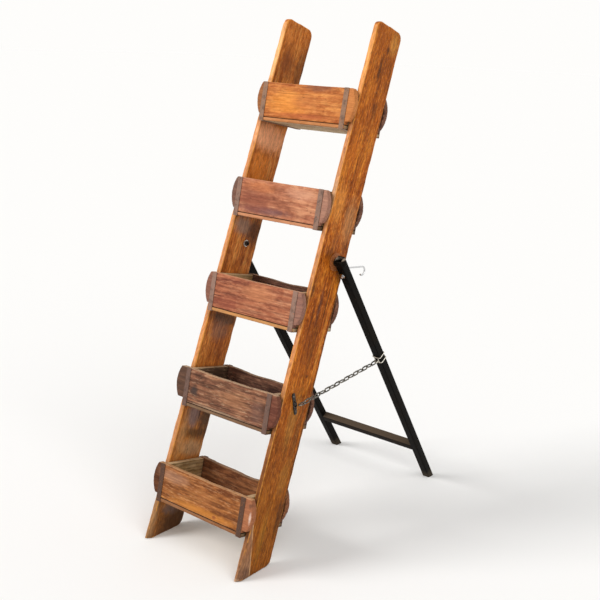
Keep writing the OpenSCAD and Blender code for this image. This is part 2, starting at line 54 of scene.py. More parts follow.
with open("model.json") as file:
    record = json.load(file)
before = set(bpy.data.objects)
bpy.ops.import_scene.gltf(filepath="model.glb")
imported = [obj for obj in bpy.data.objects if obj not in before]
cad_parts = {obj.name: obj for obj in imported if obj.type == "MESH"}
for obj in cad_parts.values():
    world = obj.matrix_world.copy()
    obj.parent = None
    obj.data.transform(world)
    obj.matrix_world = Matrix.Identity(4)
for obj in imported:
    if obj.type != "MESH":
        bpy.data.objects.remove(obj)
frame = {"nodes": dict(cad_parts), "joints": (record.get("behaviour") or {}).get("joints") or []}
CAD = frame["nodes"]
CAD_LOW, CAD_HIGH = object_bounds()
PIVOTS = {joint["name"]: Vector(joint["pos_m"]) for joint in frame["joints"]}
MM = 0.001

# ------------------------------------------------------------------ frames of the pieces

RAKE = radians(20)
MOULD_TURN = radians(9)
LEG_ANGLE = radians(34.5)
FLOOR_HALF = 0.185
TAPER = radians(0.5384)
MOULD_PITCH = 0.2880667
FIRST_MOULD = 0.127
MOULDS = range(1, 6)
RAIL_T, RAIL_D = 0.017, 0.128
MOULD_H, BOARD_T, END_T, STRAP_T = 0.112, 0.018, 0.018, 0.0015
EAR_LOW, BOARD_GAP = 0.020, 0.0003
BOARD_BACK = (EAR_LOW * sin(MOULD_TURN) - BOARD_GAP) / cos(MOULD_TURN)
BOARD_FRONT = BOARD_BACK - BOARD_T
REAR_FACE = (RAIL_D + BOARD_GAP + MOULD_H * sin(MOULD_TURN)) / cos(MOULD_TURN)
REAR_BACK = REAR_FACE + BOARD_T
PIVOT_V, PIVOT_U = 0.076, 0.9201334
LEG_MID, TUBE_HALF, CROSSBAR_UP = 0.1975, 0.0125, 0.1675
CROSSBAR_DOWN = PIVOTS["rear_frame_fold"].z / cos(LEG_ANGLE) - CROSSBAR_UP
PLATE_UP, PLATE_DEPTH, PLATE_TURN, PLATE_T = 0.094, 0.052, radians(31), 0.0025

# Frame of the rails: X across, Y from the front edge rearwards, Z up along the rails.
LADDER = Matrix.Translation((0, CAD_LOW.y, 0)) @ Matrix.Rotation(-RAKE, 4, "X")

# Frame of the legs: Z up along the legs from the pivot, Y behind them.
LEGS = (Matrix.Translation((0, *PIVOTS["rear_frame_fold"].yz))
        @ Matrix.Rotation(LEG_ANGLE, 4, "X"))


def rail_frame(side):
    """Frame of a rail: X = 0 is its outer face. Side is 1 on the right and -1 on the left."""
    return (LADDER @ Matrix.Translation((side * FLOOR_HALF, 0, 0))
            @ Matrix.Rotation(-side * TAPER, 4, "Y"))


def mould_frame(k):
    """Frame of mould k, counted from the floor: Y is depth, Z height, from its front corner."""
    return (LADDER @ Matrix.Translation((0, 0, FIRST_MOULD + (k - 1) * MOULD_PITCH))
            @ Matrix.Rotation(MOULD_TURN, 4, "X"))


def end_face(k):
    """Distance from the middle to the inner face of an end board of mould k."""
    up = FIRST_MOULD + (k - 1) * MOULD_PITCH + MOULD_H
    return FLOOR_HALF - up * tan(TAPER) - RAIL_T / cos(TAPER) - END_T


def plate_frame():
    """Frame of the chain plate: X out of the right rail's outer face, Z along the plate."""
    up = FIRST_MOULD + MOULD_PITCH + PLATE_UP
    return (rail_frame(1) @ Matrix.Translation((0, PLATE_DEPTH, up))
            @ Matrix.Rotation(PLATE_TURN, 4, "X"))


def chain_frame():
    """Frame of the chain: Y runs from the eye on the leg to the staple on the rail."""
    start, on = PIVOTS["chain_aft_swing"], PIVOTS["chain_mid_turn"]
    along = (on - start).normalized()
    across = Vector((1, 0, 0))
    turn = Matrix((across, along, across.cross(along))).transposed().to_4x4()
    return Matrix.Translation(start) @ turn


# ------------------------------------------------------------------ colours and nodes

MATH, RANGE, NOISE = "ShaderNodeMath", "ShaderNodeMapRange", "ShaderNodeTexNoise"
MAPPING, VECTOR, XYZ = "ShaderNodeMapping", "ShaderNodeVectorMath", "ShaderNodeCombineXYZ"
COORDINATES, MOVE = "ShaderNodeTexCoord", "GeometryNodeTransform"
RANDOM, ON_POINTS = "FunctionNodeRandomValue", "GeometryNodeInstanceOnPoints"
SMOOTH = {"interpolation_type": "SMOOTHSTEP"}
TIMES, PLUS, MINUS, TIMES_PLUS, LARGER, DOT, LENGTH = (
    {"operation": name} for name in ("MULTIPLY", "ADD", "SUBTRACT", "MULTIPLY_ADD", "MAXIMUM",
                                     "DOT_PRODUCT", "LENGTH"))


def linear(code, alpha=1.0):
    """Linear colour of an sRGB hex value."""
    parts = [int(code[i:i + 2], 16) / 255 for i in (1, 3, 5)]
    return tuple(c / 12.92 if c <= 0.04045 else ((c + 0.055) / 1.055) ** 2.4
                 for c in parts) + (alpha,)


def add(tree, kind, wires=(), out=0, **settings):
    """Adds a node and returns one of its outputs, or the node itself where out is None.

    Wires feed or set its inputs, in order or by name or number, and settings its properties."""
    node = tree.nodes.new(kind)
    for key, value in settings.items():
        setattr(node, key, value)
    for key, value in wires.items() if isinstance(wires, dict) else enumerate(wires):
        if isinstance(value, bpy.types.NodeSocket):
            tree.links.new(value, node.inputs[key])
        else:
            node.inputs[key].default_value = value
    return node if out is None else node.outputs[out]


def new_material(name):
    """Material with an empty tree."""
    material = bpy.data.materials.new(name)
    material.use_nodes = True
    material.node_tree.nodes.clear()
    return material, material.node_tree


def surface(tree, colour, dull, height=None, strength=0.0, deep=0.0, gloss=0.5, metal=0.0):
    """Ends a material. Dull is its roughness, and height its relief, up to deep in metres."""
    wires = {"Base Color": colour, "Roughness": dull, "Specular IOR Level": gloss,
             "Metallic": metal}
    if height is not None:
        wires["Normal"] = add(tree, "ShaderNodeBump",
                              {"Strength": strength, "Distance": deep, "Height": height})
    shader = add(tree, "ShaderNodeBsdfPrincipled", wires)
    add(tree, "ShaderNodeOutputMaterial", {"Surface": shader}, None)


def in_frame(tree, local, longer=1.0):
    """Coordinates in the frame local, in metres. Patterns on them are drawn out along Z."""
    place = add(tree, COORDINATES, out="Object")
    return add(tree, MAPPING, {"Vector": place, "Location": local.translation,
                               "Rotation": local.to_euler(), "Scale": (1, 1, longer)},
               vector_type="TEXTURE")


def blotches(tree, place, size_mm, low, high, least=0.0, most=1.0, detail=4.0):
    """Soft-edged patches about size_mm across: least outside them and most inside."""
    field = add(tree, NOISE, {"Vector": place, "Scale": 1 / (size_mm * MM), "Detail": detail,
                              "Roughness": 0.6})
    return add(tree, RANGE, (field, low, high, least, most), **SMOOTH)


def mark(tree, place, ragged, centre, size, strength):
    """Mask of one mark with a ragged edge. Centre and size are in mm."""
    off = add(tree, MAPPING, {"Vector": place, "Location": Vector(centre) * MM,
                              "Scale": Vector(size) * MM}, vector_type="TEXTURE")
    far = add(tree, VECTOR, {0: off}, "Value", **LENGTH)
    edge = add(tree, MATH, (ragged, 0.9, far), **TIMES_PLUS)
    return add(tree, RANGE, (edge, 1.65, 0.75, 0.0, strength), **SMOOTH)


def painted_over(tree, colour, *layers):
    """The colour with each layer laid over it in turn. A layer is a mask and a hex value."""
    for mask, code in layers:
        colour = add(tree, "ShaderNodeMix", {0: mask, 6: colour, 7: linear(code)}, 2,
                     data_type="RGBA")
    return colour


def arrises(tree, radius):
    """1 near the arrises of a hard-edged piece, 0 on its flats."""
    rounded = add(tree, "ShaderNodeBevel", {"Radius": radius}, samples=6)
    true = add(tree, "ShaderNodeNewGeometry", out="Normal")
    facing = add(tree, VECTOR, (rounded, true), "Value", **DOT)
    return add(tree, RANGE, (facing, 0.995, 0.9), **SMOOTH)


# ------------------------------------------------------------------ timber

WIDTH, DEPTH, HEIGHT = (1, 0, 0), (0, 1, 0), (0, 0, 1)
UP_THE_GRAIN = Matrix.Identity(4)
ACROSS_THE_MOULD = Matrix.Rotation(radians(90), 4, "Y")
FRONT_TO_BACK = Matrix.Rotation(radians(-90), 4, "X")
GRIME_AND_SHADE = "#3A261A"


def timber(name, local, along, tones, streak, ring_mm=9.0, figure=0.5, pale="#D9A878",
           pale_wear=0.5, rim=None, flecks=0.35, drawn=6, marks=(), bands=(),
           rough=(0.5, 0.7), gloss=0.1, relief=1.0, grit=0.16, seed=0.0):
    """Old timber: tones run from dark to light, and streak is the colour of the grain lines.

    A mark is (centre, size, colour, strength), in mm in the frame local. A band is
    (way, from, to, colour, strength) and covers what lies past a level that way, in mm."""
    material, tree = new_material(name)
    place = in_frame(tree, local)
    grain = local @ along @ Matrix.Translation((seed, 1.7 * seed, 0.6 * seed))
    near, long = in_frame(tree, grain, 2.5), in_frame(tree, grain, 9)
    # Broad changes are 90 mm across, stripes 16 mm and nine times as long, mottling 13 mm.
    broad = add(tree, NOISE, {"Vector": near, "Scale": 11, "Detail": 3})
    stripes = add(tree, NOISE, {"Vector": long, "Scale": 62, "Detail": 3, "Distortion": 0.4})
    mottle = add(tree, NOISE, {"Vector": near, "Scale": 78, "Detail": 5, "Roughness": 0.7,
                               "Distortion": 0.5})
    tone = add(tree, MATH, (broad, 0.32), **TIMES)
    tone = add(tree, MATH, (stripes, 0.28, tone), **TIMES_PLUS)
    tone = add(tree, MATH, (mottle, 0.40, tone), **TIMES_PLUS)
    ramp = add(tree, "ShaderNodeValToRGB", {0: tone}, None)
    ramp.color_ramp.elements[0].position = 0.40
    ramp.color_ramp.elements[1].position = 0.60
    ramp.color_ramp.elements.new(0.5)
    for element, code in zip(ramp.color_ramp.elements, tones):
        element.color = linear(code)
    colour = ramp.outputs[0]
    # Growth rings cut lengthwise, drawn wider than real so that they show.
    pith = add(tree, MAPPING, {"Vector": in_frame(tree, grain, 22), "Location": (0.035, 0.09, 0)})
    rings = add(tree, "ShaderNodeTexWave",
                {"Vector": pith, "Scale": pi / 10 / (ring_mm * MM), "Distortion": 5.0,
                 "Detail": 3.0, "Detail Scale": 0.35, "Detail Roughness": 0.6}, "Fac",
                wave_type="RINGS", rings_direction="Z")
    late_wood = add(tree, RANGE, (rings, 0.5, 1.0, 0.0, 0.6), **SMOOTH)
    # Dark streaks 5 mm wide and fibres 1.6 mm wide, both about thirty times as long.
    streaks = blotches(tree, in_frame(tree, grain, 28), 5.2, 0.5, 0.68)
    fibres = add(tree, NOISE, {"Vector": in_frame(tree, grain, 33), "Scale": 620, "Detail": 2})
    lines = add(tree, MATH, (late_wood, streaks), **LARGER)
    lined = add(tree, MATH, (lines, figure), **TIMES)
    # Flecks 5 mm across, dark and light by turns.
    speckle = add(tree, NOISE, {"Vector": in_frame(tree, grain, drawn), "Scale": 200,
                                "Detail": 3, "Roughness": 0.6})
    dark_flecks = add(tree, RANGE, (speckle, 0.56, 0.66, 0.0, flecks), **SMOOTH)
    pale_flecks = add(tree, RANGE, (speckle, 0.44, 0.34, 0.0, 0.7 * flecks), **SMOOTH)
    colour = painted_over(tree, colour, (lined, streak), (dark_flecks, streak),
                          (pale_flecks, pale))
    # Edges of bands and marks wander over 17 mm.
    ragged = add(tree, NOISE, {"Vector": place, "Scale": 60, "Detail": 4, "Roughness": 0.6})
    for way, start, end, code, strength in bands:
        part = add(tree, VECTOR, (place, way), "Value", **DOT)
        level = add(tree, MATH, (ragged, 0.25 * abs(end - start) * MM, part), **TIMES_PLUS)
        mask = add(tree, RANGE, (level, start * MM, end * MM, 0.0, strength), **SMOOTH)
        colour = painted_over(tree, colour, (mask, code))
    for centre, size, code, strength in marks:
        colour = painted_over(tree, colour,
                              (mark(tree, place, ragged, centre, size, strength), code))
    gritty = add(tree, MATH, (fibres, speckle), **MINUS)
    darker = add(tree, RANGE, (gritty, -0.2, 0.2, 1 - grit, 1 + 0.7 * grit))
    colour = add(tree, "ShaderNodeMix", {0: 1.0, 6: colour, 7: darker}, 2, data_type="RGBA",
                 blend_type="MULTIPLY")
    # Arrises are rubbed pale. Inside corners, found by ambient occlusion, are darkened in patches:
    # painted shade, with grime.
    worn = add(tree, "ShaderNodeAttribute", out="Fac", attribute_name="wear")
    worn = add(tree, RANGE, (worn, 0.25, 0.8), **SMOOTH)
    patchy = add(tree, RANGE, (ragged, 0.35, 0.6, 0.25 * pale_wear, pale_wear))
    rubbed = add(tree, MATH, (worn, patchy), **TIMES)
    open_air = add(tree, "ShaderNodeAmbientOcclusion", {"Distance": 0.03}, "AO", samples=4)
    corner = add(tree, RANGE, (open_air, 0.75, 0.25), **SMOOTH)
    corner_patchiness = add(tree, RANGE, (mottle, 0.35, 0.6, 0.2, 0.6))
    corner_shade_and_grime = add(tree, MATH, (corner, corner_patchiness), **TIMES)
    # Small dark pits where the timber was knocked.
    pits = blotches(tree, near, 8, 0.68, 0.76, 0.0, 0.6, 2)
    # The dark colour here is painted shade in the occluded corners and dark wood in the pits.
    colour = painted_over(tree, colour, (rubbed, pale), (corner_shade_and_grime, GRIME_AND_SHADE), (pits, GRIME_AND_SHADE))
    if rim:
        # Faces that look up are painted pale: the dry sawn top edge, and painted light falling on
        # top.
        facing = add(tree, COORDINATES, out="Normal")
        upward = add(tree, VECTOR, (facing, local.to_3x3() @ Vector(HEIGHT)), "Value", **DOT)
        upward = add(tree, RANGE, (upward, 0.45, 0.85, 0.0, 0.6), **SMOOTH)
        broken = add(tree, RANGE, (ragged, 0.32, 0.5, 0.35, 1.0))
        colour = painted_over(tree, colour, (add(tree, MATH, (upward, broken), **TIMES), rim))
    height = add(tree, MATH, (lines, -0.5, mottle), **TIMES_PLUS)
    height = add(tree, MATH, (fibres, 0.6, height), **TIMES_PLUS)
    height = add(tree, MATH, (height, pits), **MINUS)
    dull = add(tree, RANGE, (mottle, 0.35, 0.65, rough[1], rough[0]))
    surface(tree, colour, dull, height, 0.55, 0.9 * MM * relief, gloss)
    return material


def stains(axis, at, size, rows):
    """Marks for rows of two places, their two sizes, a colour and a strength. Place and size on
    the third axis are shared, where a row doesn't start with its own."""
    marks = []
    for *own, one, two, first, second, code, strength in rows:
        centre, spread = [one, two], [first, second]
        centre.insert(axis, own[0] if own else at)
        spread.insert(axis, own[1] if own else size)
        marks.append((centre, spread, code, strength))
    return marks


# Marks on the rails' outer right and inner left faces: depth, height, their two sizes, colour
# and strength. Most are stains; on the left rail one pale patch is painted light, and the face is
# darker just under moulds 4, 3 and 2. A row with a place and a width of its own across the rail
# starts with the two.
RAIL_INNER = RAIL_T / MM
RAIL_STAINS_AND_LIGHT = {
    1: stains(0, 0, 40, [
        (77, 1537, 9, 13, "#43240E", 0.75), (60, 1475, 9, 46, "#4A2810", 0.8),
        (82, 1365, 16, 30, "#5A2A0C", 0.6), (100, 1560, 26, 40, "#C98A3C", 0.6),
        (30, 1240, 20, 90, "#C46A1E", 0.5), (66, 1180, 7, 70, "#6B340E", 0.5),
        (56, 975, 22, 34, "#8A4A24", 0.55), (0, 60, 48, 935, 30, 24, "#5B2A10", 0.6),
        (8, 828, 9, 34, "#4A2A12", 0.7), (57, 790, 8, 62, "#59382A", 0.7),
        (86, 800, 5, 90, "#4E260A", 0.7), (34, 720, 5, 110, "#5E2E10", 0.6),
        (110, 850, 12, 70, "#D07C22", 0.7), (79, 590, 7, 7, "#42200C", 0.85),
        (30, 640, 18, 100, "#9A4E12", 0.5), (0, 50, 90, 300, 26, 60, "#A8702C", 0.5),
        (62, 470, 26, 110, "#A87432", 0.55), (100, 430, 10, 130, "#6A441C", 0.5),
        (0, 60, 112, 190, 16, 60, "#4A2C16", 0.6), (0, 60, 0, 1480, 4, 150, "#F2A45C", 0.8),
        (0, 60, 0, 1090, 4, 60, "#DAB08A", 0.6), (0, 60, 0, 480, 4, 50, "#C08C62", 0.6),
        (-9, 30, 0, 250, 5, 240, "#6C3C1C", 0.85), (0, 60, 20, 25, 24, 28, "#664636", 0.7),
        (0, 60, 14, 100, 18, 40, "#96603C", 0.6), (0, 60, 2, 4, 12, 9, "#C8A284", 0.7),
        (62, 680, 34, 90, "#763A0A", 0.6), (106, 690, 9, 120, "#CC8030", 0.7),
        (30, 1075, 34, 70, "#DC8C3C", 0.7), (96, 1040, 36, 80, "#C48A56", 0.55),
        (128, 480, 12, 460, "#4E3010", 0.75), (70, 640, 10, 120, "#8A4C14", 0.5),
        (56, 130, 16, 90, "#A06A20", 0.5)]),
    -1: stains(0, RAIL_INNER, 13, [
        (24, 1545, 24, 30, "#D8823A", 0.6), (50, 1470, 40, 50, "#7C4220", 0.65),
        (108, 1470, 26, 90, "#5A2C12", 0.6), (126, 1480, 8, 100, "#3E2416", 0.7),
        # Height 1242 is just under mould 5: that pale patch is painted light, lifting the mould's
        # shadow.
        (50, 1242, 110, 48, "#FFB888", 0.85), (50, 1130, 50, 80, "#EE8A2C", 0.6),
        # The grey and dark marks in the next four rows make the face darker just under moulds 4, 3
        # and 2.
        (46, 968, 50, 34, "#A88A78", 0.8), (104, 960, 44, 54, "#5C3820", 0.85),
        (74, 686, 90, 26, "#57402F", 0.85), (62, 650, 50, 40, "#9A7460", 0.6),
        (52, 386, 34, 50, "#8A7674", 0.85), (112, 384, 44, 64, "#4E3C2E", 0.85),
        (75, 388, 2.5, 30, "#2E1E18", 0.8), (80, 330, 76, 20, "#4E3418", 0.75),
        (78, 284, 60, 30, "#C8A67E", 0.5), (22, 320, 20, 100, "#C4905A", 0.6),
        (96, 50, 110, 110, "#46301F", 0.88), (58, 100, 40, 24, "#7A6660", 0.6),
        (RAIL_INNER, 10, 5, 800, 3, 800, "#6A3C1C", 0.5),
        (0, 60, 0, 1480, 4, 120, "#FFC080", 0.8), (0, 60, 0, 300, 4, 200, "#B88058", 0.6),
        (0, 60, 0, 50, 16, 150, "#8E6A48", 0.8)]),
}


def rail_timber(side):
    """Oiled hardwood plank, handled for years: honey brown with dark streaks, satin."""
    # On the left rail, low here and the tones below are lighter than on the right: painted light
    # that lifts the shade on its inner face.
    low = {1: "#764810", -1: "#9A6834"}[side]
    bands = [(DEPTH, 3, 0, "#CF9264", 0.78), (HEIGHT, 760, 200, low, 0.55),
             (HEIGHT, 1180, 1500, "#B0641E", 0.25), (HEIGHT, 46, -6, "#3A2517", 0.7)]
    if side > 0:
        # The front of the right foot is worn off on a slant, down to dull wood with a pale line.
        slant = (0, 0.965, 0.261)
        bands += [(slant, 51, 49.5, "#E6BC8C", 0.7), (slant, 48.5, 47, "#84583F", 0.8)]
    tones = {1: ("#743404", "#AE5711", "#D37C25"), -1: ("#A2541C", "#CE7630", "#EEA050")}[side]
    return timber("Oiled old hardwood " + ("right" if side > 0 else "left"), rail_frame(side),
                  UP_THE_GRAIN, tones, "#4E2206", 9.0, 0.4, "#EBA045", 0.55,
                  flecks={1: 0.4, -1: 0.25}[side], drawn=3, marks=RAIL_STAINS_AND_LIGHT[side], bands=bands,
                  rough=(0.32, 0.5), gloss=0.07, relief=1.2, grit={1: 0.34, -1: 0.26}[side],
                  seed=0.37 * side)


# Front boards, lowest first: tones, grain lines, rubbed arrises, marks and the ears' colours.
BOARD_LOOKS = {
    1: dict(tones=("#6B3A1C", "#995D30", "#B87C44"), streak="#4E2A16", figure=0.65,
            pale="#D0A072",
            marks=stains(1, -15, 60, [
                (188, 60, 5, 18, "#CDB0A0", 0.95), (184, 94, 7, 9, "#6A4634", 0.7),
                (-110, 84, 70, 22, "#A2785E", 0.6), (10, 62, 70, 24, "#8E5630", 0.5),
                (20, 22, 150, 14, "#C07A34", 0.7), (62, 22, 8, 6, "#6E3028", 0.6)]),
            ears=("#472719", "#A4684A")),
    2: dict(tones=("#523528", "#855740", "#A47454"), streak="#3E281E", figure=0.85,
            pale="#CDAE8C",
            marks=stains(1, -15, 60, [
                (-123, 52, 17, 17, "#3E3430", 0.85), (30, 60, 60, 22, "#8E5E40", 0.5),
                (-20, 12, 130, 7, "#B0977C", 0.5), (120, 50, 30, 40, "#705044", 0.6)]),
            ears=("#503A2E", "#6A3A2C")),
    3: dict(tones=("#7E4433", "#A66446", "#BD805E"), streak="#5E3024", figure=0.8,
            flecks=0.25, pale="#D2A07A",
            marks=stains(1, -15, 60, [
                (20, 80, 70, 30, "#C8845A", 0.5), (-90, 30, 50, 26, "#8A4836", 0.5)]),
            ears=("#7C5648", "#84645A")),
    4: dict(tones=("#834B36", "#AE6C4E", "#C68864"), streak="#7A4A38", figure=0.4,
            flecks=0.25, pale="#D2A078",
            marks=stains(1, -15, 60, [
                (-50, 26, 110, 14, "#6C4A4C", 0.75), (-70, 90, 70, 20, "#C87844", 0.5),
                (80, 88, 60, 20, "#D39C7E", 0.5), (-90, 50, 80, 44, "#874B38", 0.75)]),
            ears=("#5C4A42", "#9A7464")),
    5: dict(tones=("#984E26", "#BF713A", "#D68C4A"), streak="#7A3A1C", figure=0.5,
            flecks=0.25, pale="#DCA066",
            marks=stains(1, -15, 60, [
                (-56, 54, 90, 44, "#F0983A", 0.45), (50, 104, 60, 12, "#80503C", 0.7),
                (-10, 22, 110, 9, "#B05A34", 0.6), (0, 62, 50, 24, "#B0643A", 0.5)]),
            ears=("#8A5A38", "#C07A44")),
}
STRAP_TONES = {1: "#543C30", 2: "#6A5248", 3: "#8B6E60", 4: "#866A5C", 5: "#8A6C58"}
BASE_EDGES = {1: "#7E4620", 2: "#64432F", 3: "#BC8048", 4: "#C07C56", 5: "#BC7440"}
BASE_END_STAINS = {1: 0.75, 2: 0.8, 3: 0.3, 4: 0.85, 5: 0.15}


def front_timber(k):
    """Old softwood board, planed once and dry: red brown with grey stains, dull."""
    look = dict(BOARD_LOOKS[k])
    left, right = look.pop("ears")
    half = end_face(k) / MM + 18
    bands = [(WIDTH, 8 - half, 2 - half, left, 0.8), (WIDTH, half - 8, half - 2, right, 0.7)]
    return timber(f"Dry old softwood {k}", mould_frame(k), ACROSS_THE_MOULD, bands=bands,
                  rim=look["pale"], rough=(0.5, 0.72), relief=1.3, seed=1.31 * k, **look)


def rear_timber(k):
    """The same softwood, darkened by damp on the inside."""
    rear = REAR_FACE / MM
    tones = (("#5A3420", "#8C5634", "#A87048") if k == 1 else ("#442C24", "#684536", "#8A5E48"))
    return timber(f"Damp old softwood {k}", mould_frame(k), ACROSS_THE_MOULD,
                  tones, "#38241C", 9.0, 0.6, "#B08C6C", 0.5, rim="#A88A6C",
                  bands=[(DEPTH, rear + 7, rear + 12, "#7A5240", 0.5)],
                  rough=(0.55, 0.78), relief=1.4, seed=2.3 * k)


def end_timber(k):
    """End boards of the same softwood, brown inside, with pale rims."""
    tones = (("#3E2E26", "#5E4636", "#7C5E48") if k == 2 else ("#765A38", "#A38154", "#C2A074"))
    return timber(f"Stained old softwood {k}", mould_frame(k), FRONT_TO_BACK,
                  tones, "#4A3620", 9.0, 0.5, "#D2B48C", 0.6,
                  rim="#CDB08A", rough=(0.55, 0.78), relief=1.2, seed=3.1 * k)


def base_timber(k):
    """Rough sawn softwood: grey and pale below, dark with damp inside."""
    half = end_face(k) / MM + 18
    return timber(f"Rough sawn softwood {k}", mould_frame(k), ACROSS_THE_MOULD,
                  ("#A68866", "#C4A781", "#DCC49C"), "#8A7050", 7.0, 0.5, "#BFA278", 0.15,
                  bands=[(DEPTH, -8, -13, BASE_EDGES[k], 0.85),
                         (WIDTH, half - 6, half - 2, "#5A422C", BASE_END_STAINS[k]),
                         (HEIGHT, 8.5, 10.5, "#3A2A20", 0.9)],
                  rough=(0.6, 0.85), relief=1.6, seed=4.7 * k)


# ------------------------------------------------------------------ steel and iron

def painted_steel(name, tones, marks=(), dusty_lit_top=None):
    """Mild steel tube, brush painted black: satin, rubbed brown and grey on its corners."""
    material, tree = new_material(name)
    place = add(tree, COORDINATES, out="Object")
    # Specks 6 mm across, coarser than real so that they show.
    speck = add(tree, NOISE, {"Vector": place, "Scale": 160, "Detail": 4, "Roughness": 0.6})
    patchy = blotches(tree, place, 20, 0.45, 0.62)
    rubbed = add(tree, MATH, (arrises(tree, 1.8 * MM), patchy), **TIMES)
    bare = add(tree, MATH, (rubbed, 0.5), **TIMES)
    colour = painted_over(tree, linear(tones[0]),
                          (blotches(tree, place, 70, 0.35, 0.7), tones[1]),
                          (blotches(tree, place, 6, 0.66, 0.72, 0.0, 0.5), "#4A3A30"),
                          (bare, "#6A5848"))
    for centre, size, code, strength in marks:
        colour = painted_over(tree, colour,
                              (mark(tree, place, speck, centre, size, strength), code))
    if dusty_lit_top:
        # Faces that look up are painted lighter brown: dust on the worn paint, and painted light
        # from above.
        facing = add(tree, COORDINATES, out="Normal")
        upward = add(tree, VECTOR, (facing, HEIGHT), "Value", **DOT)
        top_dust_and_light = add(tree, RANGE, (upward, 0.1, 0.5, 0.0, 0.85))
        colour = painted_over(tree, colour, (top_dust_and_light, dusty_lit_top))
    surface(tree, colour, blotches(tree, place, 70, 0.3, 0.7, 0.38, 0.6), speck, 0.35, 0.4 * MM,
            0.03)
    return material


def worn_metal(name, light, dark, grain_mm, rough, metallic, dull):
    """Steel that is light on its high spots and dull and dark in between. On the chain the light
    patches also stand for glints: painted highlights.
    """
    material, tree = new_material(name)
    place = add(tree, COORDINATES, out="Object")
    patches = add(tree, NOISE, {"Vector": place, "Scale": 1 / (grain_mm * MM), "Detail": 4,
                                "Roughness": 0.6})
    mask = add(tree, RANGE, (patches, 0.4, 0.62, 0.0, dull), **SMOOTH)
    colour = painted_over(tree, linear(light), (mask, dark),
                          (blotches(tree, place, 6 * grain_mm, 0.5, 0.7, 0.0, 0.3), dark))
    sheen = add(tree, RANGE, (patches, 0.35, 0.65, rough[0], rough[1]))
    surface(tree, colour, sheen, patches, 0.3, 0.25 * MM, metal=metallic)
    return material


def hoop_iron(k):
    """Thin rolled hoop iron, browned like its mould: dull, darker in patches, with rust."""
    material, tree = new_material(f"Aged hoop iron {k}")
    place = add(tree, COORDINATES, out="Object")
    # Specks 4 mm across, coarser than real so that they show.
    speck = add(tree, NOISE, {"Vector": place, "Scale": 260, "Detail": 3, "Roughness": 0.6})
    rust = add(tree, RANGE, (speck, 0.56, 0.7, 0.0, 0.5), **SMOOTH)
    rubbed = add(tree, MATH, (arrises(tree, 0.8 * MM), 0.35), **TIMES)
    colour = painted_over(tree, linear(STRAP_TONES[k]),
                          (blotches(tree, place, 14, 0.48, 0.66, 0.0, 0.5), "#463832"),
                          (rust, BOARD_LOOKS[k]["tones"][1]), (rubbed, "#B09C8C"))
    surface(tree, colour, blotches(tree, place, 25, 0.3, 0.7, 0.5, 0.75), speck, 0.5, 0.4 * MM,
            0.12, 0.15)
    return material


# ------------------------------------------------------------------ meshes

SAME_POINT = 0.002 * MM
SMOOTH_UP_TO = radians(35)


@contextmanager
def opened(mesh):
    """A mesh opened for editing, and written back afterwards."""
    form = bmesh.new()
    form.from_mesh(mesh)
    yield form
    form.to_mesh(mesh)
    form.free()


def cad_mesh(node, local):
    """Copy of a node's mesh, merged into one skin, in the frame local."""
    mesh = CAD[node].data.copy()
    mesh.transform(local.inverted())
    with opened(mesh) as form:
        bmesh.ops.remove_doubles(form, verts=form.verts, dist=SAME_POINT)
    mesh.materials.clear()
    return mesh


def shade(mesh, material):
    """Makes a mesh look smooth except at its arrises, and gives it its material."""
    mesh.shade_smooth()
    mesh.set_sharp_from_angle(angle=SMOOTH_UP_TO)
    mesh.materials.append(material)


def new_piece(name, mesh):
    """Object for a mesh, in the scene."""
    piece = bpy.data.objects.new(name, mesh)
    bpy.context.scene.collection.objects.link(piece)
    return piece


def settle(piece, local):
    """Turns a piece with its modifiers into a plain mesh and puts it in place."""
    graph = bpy.context.evaluated_depsgraph_get()
    mesh = bpy.data.meshes.new_from_object(piece.evaluated_get(graph), depsgraph=graph,
                                           preserve_all_data_layers=True)
    piece.modifiers.clear()
    piece.data = mesh
    mesh.transform(local)


def hand_over(piece, body, slot, *nodes):
    """Hangs a finished piece on its body and hides the nodes that it stands for. Slot is not used.
    """
    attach(piece, body)
    if nodes:
        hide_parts(*nodes)


def run_tree(piece, tree, **values):
    """Puts a piece through a geometry tree, with these values for the tree's named inputs."""
    modifier = piece.modifiers.new(tree.name, "NODES")
    modifier.node_group = tree
    for item in tree.interface.items_tree:
        if item.item_type == "SOCKET" and item.in_out == "INPUT":
            key = item.name.lower().replace(" ", "_")
            if key in values:
                modifier[item.identifier] = values.pop(key)
    if values:
        raise RuntimeError(f"no such inputs: {sorted(values)}")


def turn_profile(form, profile, place, steps=40):
    """Adds a shape turned about the X axis of place. The profile runs from axis to axis in
    (x, radius) pairs, where a radius may be a function of the angle, as on a thread."""
    rows = []
    for x, radius in profile:
        angles = [0.0] if radius == 0 else [2 * pi * i / steps for i in range(steps)]
        row = []
        for angle in angles:
            r = radius(angle) if callable(radius) else radius
            row.append(form.verts.new(place @ Vector((x, r * cos(angle), r * sin(angle)))))
        rows.append(row)
    for one, two in zip(rows, rows[1:]):
        for i in range(steps):
            corners = [one[i % len(one)], one[(i + 1) % len(one)],
                       two[(i + 1) % len(two)], two[i % len(two)]]
            form.faces.new(list(dict.fromkeys(corners)))


def finish_form(name, form, material):
    """Piece for a bmesh, with its faces outward."""
    bmesh.ops.recalc_face_normals(form, faces=form.faces)
    mesh = bpy.data.meshes.new(name)
    form.to_mesh(mesh)
    form.free()
    shade(mesh, material)
    return new_piece(name, mesh)


# ------------------------------------------------------------------ geometry trees

